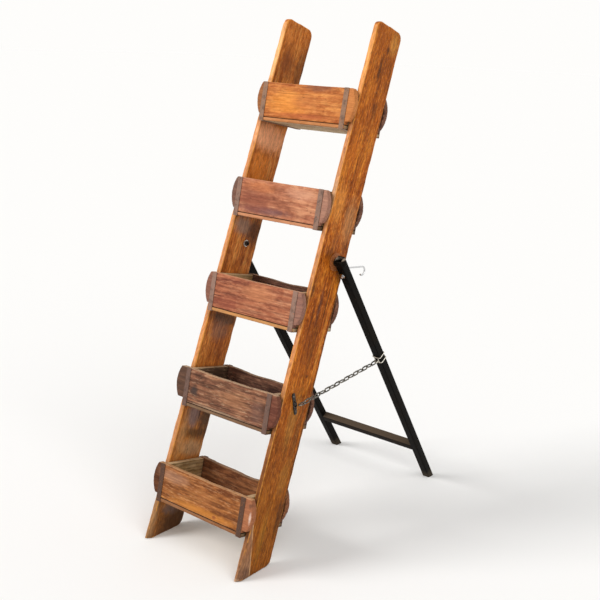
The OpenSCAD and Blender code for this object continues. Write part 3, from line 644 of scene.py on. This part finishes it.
def new_tree(name, **inputs):
    """Geometry tree with named inputs. Returns the tree and its input sockets."""
    tree = bpy.data.node_groups.new(name, "GeometryNodeTree")
    tree.interface.new_socket("Geometry", in_out="INPUT", socket_type="NodeSocketGeometry")
    for key, value in inputs.items():
        label, kind = key.replace("_", " ").capitalize(), type(value).__name__.capitalize()
        socket = tree.interface.new_socket(label, in_out="INPUT", socket_type="NodeSocket" + kind)
        socket.default_value = value
    tree.interface.new_socket("Material", in_out="INPUT", socket_type="NodeSocketMaterial")
    tree.interface.new_socket("Geometry", in_out="OUTPUT", socket_type="NodeSocketGeometry")
    return tree, add(tree, "NodeGroupInput", out=None).outputs


def close_tree(tree, geometry, given):
    """Ends a tree: instances made real, and the material set."""
    real = add(tree, "GeometryNodeRealizeInstances", {0: geometry})
    done = add(tree, "GeometryNodeSetMaterial", {"Geometry": real, "Material": given["Material"]})
    add(tree, "NodeGroupOutput", {0: done}, None)
    return tree


def wear_tree():
    """Rounds the arrises unevenly, dents the faces, and stores how worn each point is."""
    tree, given = new_tree(
        "Timber wear",
        rounding=0.8, reach=4, patch=30.0, waviness=0.0004, dents=0.0005, seed=0.0)
    place = add(tree, "GeometryNodeInputPosition")
    facing = add(tree, "GeometryNodeInputNormal")
    smooth = add(tree, "GeometryNodeBlurAttribute", (place, given["Reach"]),
                 data_type="FLOAT_VECTOR")
    pull = add(tree, VECTOR, (smooth, place), **MINUS)
    reach = add(tree, VECTOR, {0: pull}, "Value", **LENGTH)
    fields = [add(tree, NOISE, {"Vector": place, "W": given["Seed"], "Scale": scale,
                                "Detail": detail}, noise_dimensions="4D")
              for scale, detail in ((given["Patch"], 3.0), (9.0, 2.0), (70.0, 1.0))]
    share = add(tree, RANGE, (fields[0], 0.35, 0.68, 0.35, 1.6), **SMOOTH)
    share = add(tree, MATH, (share, given["Rounding"]), **TIMES)
    rounded = add(tree, VECTOR, {0: pull, "Scale": share}, operation="SCALE")
    dent = add(tree, RANGE, (fields[2], 0.6, 0.8), **SMOOTH)
    dent = add(tree, MATH, (dent, given["Dents"]), **TIMES)
    depth = add(tree, MATH, (fields[1], given["Waviness"], dent), **TIMES_PLUS)
    depth = add(tree, MATH, (depth, -1.0), **TIMES)
    inwards = add(tree, VECTOR, {0: facing, "Scale": depth}, operation="SCALE")
    offset = add(tree, VECTOR, (rounded, inwards), **PLUS)
    # A point 1.4 mm from the smoothed skin counts as fully worn.
    worn = add(tree, RANGE, (reach, 0.0002, 0.0014), **SMOOTH)
    stored = add(tree, "GeometryNodeStoreNamedAttribute",
                 {"Geometry": given["Geometry"], "Name": "wear", "Value": worn},
                 data_type="FLOAT", domain="POINT")
    moved = add(tree, "GeometryNodeSetPosition", {"Geometry": stored, "Offset": offset})
    return close_tree(tree, moved, given)


def fixing_tree(slotted):
    """Heads with shanks on points, turned to face their way. Screws have a slot in the head."""
    tree, given = new_tree(
        "Slotted screws" if slotted else "Nails",
        head_radius=0.003, head_height=0.001, shank_radius=0.001, length=0.01,
        slot_width=0.0009, seed=1)
    ball = add(tree, "GeometryNodeMeshUVSphere", {"Segments": 20, "Rings": 10, "Radius": 1.0})
    size = add(tree, XYZ, (given["Head radius"], given["Head radius"], given["Head height"]))
    head = add(tree, MOVE, {"Geometry": ball, "Scale": size})
    if slotted:
        reach = add(tree, MATH, (given["Head radius"], 3.0), **TIMES)
        box = add(tree, XYZ, (reach, given["Slot width"], given["Head height"]))
        lift = add(tree, XYZ, {2: given["Head height"]})
        cutter = add(tree, "GeometryNodeMeshCube", {"Size": box})
        cutter = add(tree, MOVE, {"Geometry": cutter, "Translation": lift})
        head = add(tree, "GeometryNodeMeshBoolean", {"Mesh 1": head, "Mesh 2": cutter},
                   operation="DIFFERENCE")
    down = add(tree, MATH, (given["Length"], -0.5), **TIMES)
    down = add(tree, XYZ, {2: down})
    shank = add(tree, "GeometryNodeMeshCylinder",
                {"Vertices": 12, "Radius": given["Shank radius"], "Depth": given["Length"]})
    shank = add(tree, MOVE, {"Geometry": shank, "Translation": down})
    whole = add(tree, "GeometryNodeJoinGeometry", {0: head}, None)
    tree.links.new(shank, whole.inputs[0])
    turn = add(tree, RANDOM, {2: -pi, 3: pi, "Seed": given["Seed"]}, 1, data_type="FLOAT")
    turn = add(tree, "FunctionNodeAxisAngleToRotation", {"Axis": HEIGHT, "Angle": turn})
    facing = add(tree, "GeometryNodeInputNamedAttribute", {"Name": "facing"},
                 data_type="FLOAT_VECTOR")
    aimed = add(tree, "FunctionNodeAlignRotationToVector", {"Vector": facing}, axis="Z")
    aimed = add(tree, "FunctionNodeRotateRotation", (aimed, turn), rotation_space="LOCAL")
    heads = add(tree, ON_POINTS,
                {"Points": given["Geometry"], "Instance": whole.outputs[0], "Rotation": aimed})
    return close_tree(tree, heads, given)


def link_tree():
    """Interlocked links along Y, every other one turned a quarter, each with its weld."""
    tree, given = new_tree(
        "Welded chain",
        first=1, count=8, pitch=0.02306, start=0.0, wire=0.002, bend=0.005, side=0.01726,
        weld=0.35, twist=0.07, seed=1)
    width = add(tree, MATH, (given["Bend"], 2.0), **TIMES)
    height = add(tree, MATH, (width, given["Side"]), **PLUS)
    path = add(tree, "GeometryNodeCurvePrimitiveQuadrilateral", {"Width": width, "Height": height})
    path = add(tree, "GeometryNodeFilletCurve", {"Curve": path, "Radius": given["Bend"]})
    path = add(tree, "GeometryNodeResampleCurve", {"Curve": path, "Count": 44})
    # The weld swells the middle of one side, 3.5 mm each way.
    point = add(tree, "GeometryNodeInputPosition")
    middle = add(tree, XYZ, {0: given["Bend"]})
    side = add(tree, VECTOR, (point, middle), "Value", operation="DISTANCE")
    thickest = add(tree, MATH, (given["Weld"], 1.0), **PLUS)
    swell = add(tree, RANGE, (side, 0.0035, 0.0005, 1.0, thickest), **SMOOTH)
    round_wire = add(tree, "GeometryNodeCurvePrimitiveCircle",
                     {"Resolution": 12, "Radius": given["Wire"]})
    link = add(tree, "GeometryNodeCurveToMesh", {"Curve": path, "Profile Curve": round_wire,
                                                 "Scale": swell})
    number = add(tree, MATH, (add(tree, "GeometryNodeInputIndex"), given["First"]), **PLUS)
    along = add(tree, MATH, (given["First"], given["Pitch"], given["Start"]), **TIMES_PLUS)
    places = add(tree, "GeometryNodeMeshLine",
                 {"Count": given["Count"],
                  "Start Location": add(tree, XYZ, {1: along}),
                  "Offset": add(tree, XYZ, {1: given["Pitch"]})})
    odd = add(tree, MATH, (number, 2.0), operation="MODULO")
    least = add(tree, MATH, (given["Twist"], -1.0), **TIMES)
    loose = add(tree, RANDOM,
                {2: least, 3: given["Twist"], "ID": number, "Seed": given["Seed"]}, 1,
                data_type="FLOAT")
    turn = add(tree, MATH, (odd, pi / 2, loose), **TIMES_PLUS)
    turn = add(tree, "FunctionNodeAxisAngleToRotation", {"Axis": DEPTH, "Angle": turn})
    chain = add(tree, ON_POINTS, {"Points": places, "Instance": link, "Rotation": turn})
    return close_tree(tree, chain, given)


def ripple_tree():
    """Weld beads: overlapping drops of metal along each edge of the given mesh."""
    tree, given = new_tree("Weld ripples", spacing=0.0016, drop=0.0027, seed=1)
    run = add(tree, "GeometryNodeMeshToCurve", {0: given["Geometry"]})
    run = add(tree, "GeometryNodeResampleCurve", {"Curve": run, "Length": given["Spacing"]},
              mode="LENGTH")
    drop = add(tree, "GeometryNodeMeshIcoSphere", {"Radius": given["Drop"], "Subdivisions": 3})
    size = add(tree, RANDOM, {2: 0.82, 3: 1.0, "Seed": given["Seed"]}, 1, data_type="FLOAT")
    beads = add(tree, ON_POINTS, {"Points": run, "Instance": drop, "Scale": size})
    return close_tree(tree, beads, given)


# ------------------------------------------------------------------ pieces

FRONT_STRIP = 9.5 * MM  # The tip's height is taken this near to a rail's front edge.
TIP_FLATS = (20, 45, 70)


def worn_tip(mesh, radius):
    """Cuts the front corner of a rail's top end back to a radius, in three flats."""
    with opened(mesh) as form:
        tip = max(v.co.z for v in form.verts if v.co.y < FRONT_STRIP)
        centre = Vector((0, radius, tip - radius))
        for angle in TIP_FLATS:
            way = Vector((0, -cos(radians(angle)), sin(radians(angle))))
            cut = bmesh.ops.bisect_plane(form, geom=form.verts[:] + form.edges[:] + form.faces[:],
                                         plane_co=centre + radius * way, plane_no=way,
                                         clear_outer=True)
            rim = [item for item in cut["geom_cut"] if isinstance(item, bmesh.types.BMEdge)]
            bmesh.ops.holes_fill(form, edges=rim)
    return mesh


def timber_piece(node, local, slot, material, voxel, wear, tip=0.0, **amounts):
    """Remeshes a copy of a node evenly in its own frame, wears it, and stands it for the node."""
    mesh = cad_mesh(node, local)
    piece = new_piece(node + "_timber", worn_tip(mesh, tip) if tip else mesh)
    even = piece.modifiers.new("Even skin", "REMESH")
    even.mode, even.voxel_size, even.use_smooth_shade = "VOXEL", voxel, True
    run_tree(piece, wear, material=material, **amounts)
    settle(piece, local)
    hand_over(piece, "ladder", slot, node)


FLAT_UP_TO = radians(0.5)
ARRIS_FROM = radians(38)
HOLLOW_SHARE = 0.35


def metal_piece(node, local, body, slot, material, width):
    """Copy of a hard node with bevelled arrises, which are narrower in hollow corners."""
    mesh = cad_mesh(node, local)
    with opened(mesh) as form:
        bmesh.ops.dissolve_limit(form, angle_limit=FLAT_UP_TO, verts=form.verts, edges=form.edges)
        weights = form.edges.layers.float.new("bevel_weight_edge")
        for edge in form.edges:
            turn = edge.calc_face_angle_signed() if len(edge.link_faces) == 2 else 0
            if abs(turn) > ARRIS_FROM:
                edge[weights] = 1.0 if turn > 0 else HOLLOW_SHARE
    shade(mesh, material)
    piece = new_piece(node + "_metal", mesh)
    if width:
        bevel = piece.modifiers.new("Arrises", "BEVEL")
        bevel.limit_method, bevel.width, bevel.segments = "WEIGHT", width, 2
        bevel.harden_normals = True
    settle(piece, local)
    hand_over(piece, body, slot, node)


def place_fixings(name, spots, tree, slot, material, *nodes, **sizes):
    """Nails or screws of the ladder, on spots given as a place and the way that the head faces."""
    mesh = bpy.data.meshes.new(name)
    mesh.from_pydata([place for place, _ in spots], [], [])
    facing = mesh.attributes.new("facing", "FLOAT_VECTOR", "POINT")
    for item, (_, way) in zip(facing.data, spots):
        item.vector = way
    piece = new_piece(name, mesh)
    run_tree(piece, tree, material=material, **sizes)
    settle(piece, Matrix.Identity(4))
    hand_over(piece, "ladder", slot, *nodes)


def spot(local, place, way):
    """A place and a direction of the frame local, in the frame of the solids."""
    return local @ Vector(place), (local.to_3x3() @ Vector(way)).normalized()


# ------------------------------------------------------------------ settings

class LadderTimber(bpy.types.PropertyGroup):
    """Wear of the timber"""
    rail_skin: FloatProperty(name="Rail skin", description="Spacing of points on the rails",
                             default=3 * MM, min=MM, unit="LENGTH")
    board_skin: FloatProperty(name="Board skin", description="Spacing of points on the boards",
                              default=2 * MM, min=MM, unit="LENGTH")
    rail_rounding: FloatProperty(name="Rail rounding", default=0.75, min=0, max=1,
                                 description="How far the rails' arrises are worn off",
                                 subtype="FACTOR")
    rail_tip: FloatProperty(name="Rail tip", description="Worn radius at the front of the tips",
                            default=20 * MM, min=10 * MM, unit="LENGTH")
    board_rounding: FloatProperty(name="Board rounding", default=0.5, min=0, max=1,
                                  description="How far the boards' arrises are worn off",
                                  subtype="FACTOR")
    waviness: FloatProperty(name="Waviness", description="Depth of broad hollows in a face",
                            default=0.7 * MM, unit="LENGTH")
    dents: FloatProperty(name="Dents", description="Depth of knocks in a face",
                         default=0.7 * MM, unit="LENGTH")


class LadderSteel(bpy.types.PropertyGroup):
    """Sizes of the small metal pieces"""
    strap_edge: FloatProperty(name="Strap edge", description="Rounding of the straps' edges",
                              default=0.4 * MM, unit="LENGTH")
    nail_head: FloatProperty(name="Nail head", description="Radius of the strap nails' heads",
                             default=2.6 * MM, unit="LENGTH")
    twist: FloatProperty(name="Link twist", description="Most that a link is turned off true",
                         default=radians(4), subtype="ANGLE")
    weld: FloatProperty(name="Link weld", description="Swelling of a link at its weld",
                        default=0.3, min=0, subtype="FACTOR")


class LadderStage(bpy.types.PropertyGroup):
    """Floor and light"""
    floor_colour: FloatVectorProperty(name="Floor", description="Colour of floor and backdrop",
                                      subtype="COLOR", size=4, min=0, max=1,
                                      default=linear("#F4F3F1"))
    key: FloatProperty(name="Key", description="Strength of the lamp from the front left",
                       default=2.0, min=0)
    fill: FloatProperty(name="Fill", description="Strength of the lamp from the right",
                        default=1.1, min=0)
    sky: FloatProperty(name="Sky", description="Strength of the light from all round",
                       default=0.50, min=0)


# ------------------------------------------------------------------ operators

# Places of the fixings, in the frames of the moulds and of the chain plate.
STRAP_NAIL_HEIGHTS, STRAP_NAIL_DEPTHS = (0.030, 0.062, 0.096), (0.045, 0.105)
BASE_NAIL_PITCH = 0.052
SCREW_HEIGHT, SCREW_SHARES = 0.0615, (0.25, 0.72)
PLATE_SCREW_HALF = 0.023

# Marks on the legs are centred close to their ends.
LEG_TOP, LEG_FOOT = 0.016, -1.010
# The drops of the welds lie this far out of the corner, and this far short of the tube's sides.
WELD_OUT, WELD_SHORT = 0.2 * MM, 4.5 * MM

# Pivot bolts: distances from the middle of the ladder, then radii.
BOLT_END, THREAD_FROM, THREAD_LONG, SHANK_FROM = 0.14855, 0.1487, 0.012, 0.161
HEAD_FROM, HEAD_RIM, HEAD_DOME, HEAD_TOP = 0.2103, 0.2106, 0.0037, 0.2143
END_R, CORE_R, SHANK_R, HEAD_FOOT_R, HEAD_R = 0.0034, 0.00335, 0.004, 0.0086, 0.009
THREAD_PITCH, THREAD_DEEP, THREAD_STEPS = 1.25 * MM, 0.00065, 80

# The middle of the chain's first link, less one pitch, from the eye on the leg.
CHAIN_START = -0.01363

# Camera fitted to the photograph, in metres, mm and degrees.
CAMERA_PLACE = (1.75325, -2.25182, 1.43445)
LENS_MM, SENSOR_MM = 58.406, 36
CAMERA_TURN, CAMERA_TILT, CAMERA_ROLL = 38.283, 14.924, 2.342
FLOOR_REACH = 60.0


class LADDER_OT_rails(bpy.types.Operator):
    """Wears both timber rails"""
    bl_idname = "ladder.rails"
    bl_label = "Rails"

    def execute(self, context):
        amounts = context.scene.ladder_timber
        wear = wear_tree()
        for node, side in (("left_rail", -1), ("right_rail", 1)):
            timber_piece(node, rail_frame(side), "rail_timber", rail_timber(side),
                         amounts.rail_skin, wear, tip=amounts.rail_tip,
                         rounding=amounts.rail_rounding, reach=4,
                         patch=22.0, waviness=amounts.waviness, dents=amounts.dents,
                         seed=3.0 + side)
        return {"FINISHED"}


class LADDER_OT_moulds(bpy.types.Operator):
    """Wears the boards of the five brick moulds"""
    bl_idname = "ladder.moulds"
    bl_label = "Brick moulds"

    def execute(self, context):
        amounts = context.scene.ladder_timber
        wear = wear_tree()
        for k in MOULDS:
            ends = end_timber(k)
            looks = {"front_board": front_timber(k), "rear_board": rear_timber(k),
                     "left_end": ends, "right_end": ends, "base": base_timber(k)}
            for number, (part, material) in enumerate(looks.items()):
                slot = "base_timber" if part == "base" else "mould_timber"
                timber_piece(f"mould_{k}_{part}", mould_frame(k), slot, material,
                             amounts.board_skin, wear, rounding=amounts.board_rounding, reach=2,
                             patch=30.0, waviness=amounts.waviness, dents=amounts.dents,
                             seed=10.0 * k + number)
        return {"FINISHED"}


class LADDER_OT_straps(bpy.types.Operator):
    """Makes the iron straps and the moulds' nails"""
    bl_idname = "ladder.straps"
    bl_label = "Straps and nails"

    def execute(self, context):
        sizes = context.scene.ladder_steel
        nails = fixing_tree(False)
        for k in MOULDS:
            local = mould_frame(k)
            iron = hoop_iron(k)
            strap_spots, base_spots = [], []
            middle = end_face(k) + END_T / 2
            for side, name in ((-1, "left"), (1, "right")):
                metal_piece(f"mould_{k}_{name}_strap", local, "ladder", "strap_iron", iron,
                            sizes.strap_edge)
                for h in STRAP_NAIL_HEIGHTS:
                    x = side * (middle + 0.002 * sin(70 * h + k))
                    strap_spots.append(spot(local, (x, BOARD_FRONT - STRAP_T, h), (0, -1, 0)))
                    strap_spots.append(spot(local, (x, REAR_BACK + STRAP_T, h), (0, 1, 0)))
                for d in STRAP_NAIL_DEPTHS:
                    strap_spots.append(spot(local, (side * middle, d, -STRAP_T), (0, 0, -1)))
            for step in range(-2, 3):
                x = step * BASE_NAIL_PITCH + 0.004 * sin(5 * step + k)
                for d in (BOARD_FRONT + BOARD_T / 2, REAR_BACK - BOARD_T / 2):
                    base_spots.append(spot(local, (x, d, 0), (0, 0, -1)))
            place_fixings(f"mould_{k}_strap_nails", strap_spots, nails, "strap_iron", iron,
                          head_radius=sizes.nail_head, head_height=0.8 * MM, shank_radius=MM,
                          length=14 * MM, seed=3)
            place_fixings(f"mould_{k}_base_nails", base_spots, nails, "strap_iron", iron,
                          head_radius=2.2 * MM, head_height=0.4 * MM, shank_radius=MM,
                          length=18 * MM, seed=4)
        return {"FINISHED"}


class LADDER_OT_screws(bpy.types.Operator):
    """Makes the slotted screws in the moulds' ends and in the chain plate"""
    bl_idname = "ladder.screws"
    bl_label = "Screws"

    def execute(self, context):
        screws = fixing_tree(True)
        # Cut threads and turned heads of plain iron, dull with age.
        iron = worn_metal("Aged iron screws", "#77706A", "#3E3028", 4.5, (0.4, 0.65), 0.85, 0.8)
        mould_spots = []
        for k in MOULDS:
            for side in (-1, 1):
                for share in SCREW_SHARES:
                    d = BOARD_BACK + share * (REAR_FACE - BOARD_BACK)
                    mould_spots.append(spot(mould_frame(k), (side * end_face(k), d, SCREW_HEIGHT),
                                            (-side, 0, 0)))
        place_fixings("mould_screws_slotted", mould_spots, screws, "strap_iron", iron,
                      "mould_screws", head_radius=4.0 * MM, head_height=2.4 * MM,
                      shank_radius=2.0 * MM, length=29 * MM, slot_width=1.1 * MM, seed=5)
        plate_spots = [spot(plate_frame(), (PLATE_T, 0, end * PLATE_SCREW_HALF), WIDTH)
                       for end in (-1, 1)]
        place_fixings("plate_screws_slotted", plate_spots, screws, "plate_iron", iron,
                      "plate_screws", head_radius=3.6 * MM, head_height=1.8 * MM,
                      shank_radius=1.75 * MM, length=17 * MM, slot_width=0.9 * MM, seed=8)
        return {"FINISHED"}


class LADDER_OT_rear_frame(bpy.types.Operator):
    """Finishes the rear frame of square tube and its welds"""
    bl_idname = "ladder.rear_frame"
    bl_label = "Rear frame"

    def execute(self, context):
        ends = [(LEGS @ Vector((side * LEG_MID, 0, z)) / MM, size, code, strength)
                for z, size, code, strength in ((LEG_TOP, (34, 34, 5), "#A89684", 0.9),
                                                (LEG_FOOT, (40, 40, 30), "#4A4034", 0.6))
                for side in (-1, 1)]
        paint = painted_steel("Black painted mild steel", ("#0D0B09", "#191511"), ends)
        # The crossbar's paint is lighter brown on its upper faces: dust, and painted light from
        # above.
        dusty_lit_top = painted_steel("Worn black paint on mild steel", ("#15110E", "#261E18"),
                                dusty_lit_top="#524538")
        for node in ("left_leg", "right_leg", "crossbar"):
            metal_piece(node, LEGS, "rear_frame", "black_steel",
                        dusty_lit_top if node == "crossbar" else paint, 0.3 * MM)
        runs = bpy.data.meshes.new("weld_ripples")
        places, edges = [], []
        reach = TUBE_HALF - WELD_SHORT
        for side in (-1, 1):
            for up in (-1, 1):
                z = -CROSSBAR_DOWN + up * (TUBE_HALF + WELD_OUT)
                x = side * (LEG_MID - TUBE_HALF - WELD_OUT)
                edges.append((len(places), len(places) + 1))
                places += [(x, -reach, z), (x, reach, z)]
        runs.from_pydata(places, edges, [])
        piece = new_piece("weld_ripples", runs)
        run_tree(piece, ripple_tree(), material=paint, seed=2)
        settle(piece, LEGS)
        hand_over(piece, "rear_frame", "black_steel", "weld_beads")
        context.scene["ladder_paint"] = paint
        return {"FINISHED"}


class LADDER_OT_pivots(bpy.types.Operator):
    """Makes the pivot bolts, and finishes their washers, spacers and nuts"""
    bl_idname = "ladder.pivots"
    bl_label = "Pivots"

    def execute(self, context):
        paint = context.scene["ladder_paint"]
        # Electroplated zinc, gone dull: light grey with a soft gloss.
        zinc = worn_metal("Dull zinc plated steel", "#D6CEC4", "#8C8278", 3, (0.4, 0.6), 0.5, 0.5)
        # Bare bolt steel with a brown bloom.
        steel = worn_metal("Browned bolt steel", "#4A3A36", "#1E1614", 3, (0.4, 0.6), 0.6, 0.8)
        # Plate washers, rusted to the colour of the rail.
        rusted = worn_metal("Rusted washer steel", "#A85E24", "#7A4218", 6, (0.55, 0.75), 0.1, 0.8)
        local = LADDER @ Matrix.Translation((0, PIVOT_V, PIVOT_U))
        profile = [(BOLT_END, 0), (BOLT_END, END_R)]
        for i in range(THREAD_STEPS + 1):
            x = THREAD_FROM + THREAD_LONG * i / THREAD_STEPS
            profile.append((x, lambda a, x=x: CORE_R + 2 * THREAD_DEEP * abs(
                (x / THREAD_PITCH + a / (2 * pi)) % 1 - 0.5)))
        profile += [(SHANK_FROM, SHANK_R), (HEAD_FROM, SHANK_R), (HEAD_FROM, HEAD_FOOT_R),
                    (HEAD_RIM, HEAD_R)]
        profile += [(HEAD_RIM + HEAD_DOME * sin(radians(a)), HEAD_R * cos(radians(a)))
                    for a in range(10, 90, 10)]
        form = bmesh.new()
        for turned in (0, pi):
            turn_profile(form, profile + [(HEAD_TOP, 0)], local @ Matrix.Rotation(turned, 4, "Z"))
        bolts = finish_form("pivot_bolts_threaded", form, paint)
        hand_over(bolts, "ladder", "black_steel", "pivot_bolts")
        for node, material, slot, width in (
                ("wide_washers", rusted, "black_steel", 0.4 * MM),
                ("pivot_spacers", paint, "black_steel", 0.3 * MM),
                ("nut_washers", zinc, "bright_steel", 0.3 * MM),
                ("pivot_nuts", steel, "black_steel", 0.2 * MM)):
            metal_piece(node, local, "ladder", slot, material, width)
        return {"FINISHED"}


class LADDER_OT_chain(bpy.types.Operator):
    """Makes the check chain, its plate, staple and tie"""
    bl_idname = "ladder.chain"
    bl_label = "Check chain"

    def execute(self, context):
        sizes = context.scene.ladder_steel
        # Welded and zinc plated, then weathered grey and dark; its few light patches are bright
        # rubs and painted glints.
        links = worn_metal("Weathered zinc plated chain", "#857F74", "#0E0C0A", 4, (0.22, 0.42),
                           0.75, 1.0)
        tree = link_tree()
        for node, body, first, count in (("chain_links_aft", "chain_aft", 1, 8),
                                         ("chain_link_mid", "chain_mid", 9, 1),
                                         ("chain_links_fore", "chain_fore", 10, 7)):
            piece = new_piece(node + "_welded", bpy.data.meshes.new(node + "_welded"))
            run_tree(piece, tree, first=first, count=count, start=CHAIN_START, twist=sizes.twist,
                     weld=sizes.weld, seed=6, material=links)
            settle(piece, chain_frame())
            hand_over(piece, body, "chain_steel", node)
        # Forged iron, blackened by heat and oil, brown where it is rubbed.
        black = worn_metal("Blackened forged iron", "#4A423C", "#191614", 6, (0.42, 0.62), 0.6, 0.9)
        metal_piece("chain_plate", plate_frame(), "ladder", "plate_iron", black, 0.6 * MM)
        metal_piece("chain_staple", plate_frame(), "ladder", "plate_iron", black, 0)
        # Galvanised binding wire, still pale.
        wire = worn_metal("Galvanised binding wire", "#EEE8DA", "#A09A8C", 4, (0.3, 0.5), 0.6, 0.5)
        metal_piece("chain_tie", LEGS, "rear_frame", "chain_steel", wire, 0)
        return {"FINISHED"}


class LADDER_OT_hook(bpy.types.Operator):
    """Finishes the hook on the right leg"""
    bl_idname = "ladder.hook"
    bl_label = "Hook"

    def execute(self, context):
        # Bright zinc on drawn wire: nearly a mirror, a little cloudy.
        zinc = worn_metal("Bright zinc plated wire", "#DADBDC", "#9B9C9C", 4, (0.16, 0.32), 1.0,
                          0.4)
        for node, width in (("hook", 0), ("hook_nuts", 0.2 * MM), ("hook_washers", 0.2 * MM)):
            metal_piece(node, LEGS, "rear_frame", "bright_steel", zinc, width)
        return {"FINISHED"}


class LADDER_OT_stage(bpy.types.Operator):
    """Sets up the floor, the lamps and the camera at the photograph's angle"""
    bl_idname = "ladder.stage"
    bl_label = "Stage"

    def execute(self, context):
        scene = context.scene
        amounts = scene.ladder_stage
        # Matt painted floor.
        matt, tree = new_material("Pale matt floor")
        surface(tree, amounts.floor_colour, 0.9, gloss=0.0)
        mesh = bpy.data.meshes.new("floor")
        corners = [(x * FLOOR_REACH, y * FLOOR_REACH, 0)
                   for x, y in ((-1, -1), (1, -1), (1, 1), (-1, 1))]
        mesh.from_pydata(corners, [], [(0, 1, 2, 3)])
        mesh.materials.append(matt)
        pieces = [new_piece("floor", mesh)]
        light_on_floor = amounts.sky
        for name, way, strength, spread in (
                ("key_lamp", (-0.52, -0.66, 0.54), amounts.key, 26),
                ("fill_lamp", (0.62, -0.30, 0.72), amounts.fill, 50)):
            way = Vector(way).normalized()
            lamp = bpy.data.lights.new(name, "SUN")
            lamp.energy, lamp.angle = strength, radians(spread)
            stand = bpy.data.objects.new(name, lamp)
            stand.rotation_euler = way.to_track_quat("Z", "Y").to_euler()
            scene.collection.objects.link(stand)
            pieces.append(stand)
            light_on_floor += strength * way.z / pi
        # Camera, glossy and transmission rays past the floor see its lit colour, so that no
        # horizon shows. All other rays see the sky.
        world = bpy.data.worlds.new("Soft studio")
        world.use_nodes = True
        tree = world.node_tree
        tree.nodes.clear()
        seen = add(tree, "ShaderNodeLightPath", out=None).outputs
        direct = add(tree, MATH, (seen["Is Camera Ray"], seen["Is Transmission Ray"]), **LARGER)
        direct = add(tree, MATH, (direct, seen["Is Glossy Ray"]), **LARGER)
        sky = add(tree, "ShaderNodeBackground", ((1, 1, 1, 1), amounts.sky))
        backdrop = add(tree, "ShaderNodeBackground", (amounts.floor_colour, light_on_floor))
        both = add(tree, "ShaderNodeMixShader", (direct, sky, backdrop))
        add(tree, "ShaderNodeOutputWorld", {0: both}, None)
        scene.world = world
        camera = bpy.data.objects.new("camera", bpy.data.cameras.new("camera"))
        camera.data.lens, camera.data.sensor_width = LENS_MM, SENSOR_MM
        turn, tilt, roll = (radians(a) for a in (CAMERA_TURN, CAMERA_TILT, CAMERA_ROLL))
        ahead = Vector((-sin(turn) * cos(tilt), cos(turn) * cos(tilt), -sin(tilt)))
        right = Vector((cos(turn), sin(turn), 0))
        up = right.cross(ahead)
        across = cos(roll) * right + sin(roll) * up
        above = -sin(roll) * right + cos(roll) * up
        pose = Matrix((across, above, -ahead)).transposed().to_4x4()
        camera.matrix_world = Matrix.Translation(CAMERA_PLACE) @ pose
        scene.collection.objects.link(camera)
        scene.camera = camera
        scene.view_settings.view_transform = "Standard"
        return {"FINISHED"}


class LADDER_PT_panel(bpy.types.Panel):
    """Settings and steps of the plant ladder stand"""
    bl_label = "Plant ladder stand"
    bl_space_type = "VIEW_3D"
    bl_region_type = "UI"
    bl_category = "Ladder"

    def draw(self, context):
        for group in ("ladder_timber", "ladder_steel", "ladder_stage"):
            settings = getattr(context.scene, group)
            for name in settings.__annotations__:
                self.layout.prop(settings, name)
        for step in STEPS:
            self.layout.operator(step.bl_idname)


STEPS = (LADDER_OT_rails, LADDER_OT_moulds, LADDER_OT_straps, LADDER_OT_screws,
         LADDER_OT_rear_frame, LADDER_OT_pivots, LADDER_OT_chain, LADDER_OT_hook,
         LADDER_OT_stage)
SETTINGS = {"ladder_timber": LadderTimber, "ladder_steel": LadderSteel,
            "ladder_stage": LadderStage}


def register():
    for item in (*SETTINGS.values(), *STEPS, LADDER_PT_panel):
        bpy.utils.register_class(item)
    for name, group in SETTINGS.items():
        setattr(bpy.types.Scene, name, PointerProperty(type=group))


def unregister():
    for name in SETTINGS:
        delattr(bpy.types.Scene, name)
    for item in reversed((*SETTINGS.values(), *STEPS, LADDER_PT_panel)):
        bpy.utils.unregister_class(item)


def main():
    register()
    bpy.ops.ladder.rails()
    bpy.ops.ladder.moulds()
    bpy.ops.ladder.straps()
    bpy.ops.ladder.screws()
    bpy.ops.ladder.rear_frame()
    bpy.ops.ladder.pivots()
    bpy.ops.ladder.chain()
    bpy.ops.ladder.hook()
    bpy.ops.ladder.stage()


if __name__ == "__main__":
    main()
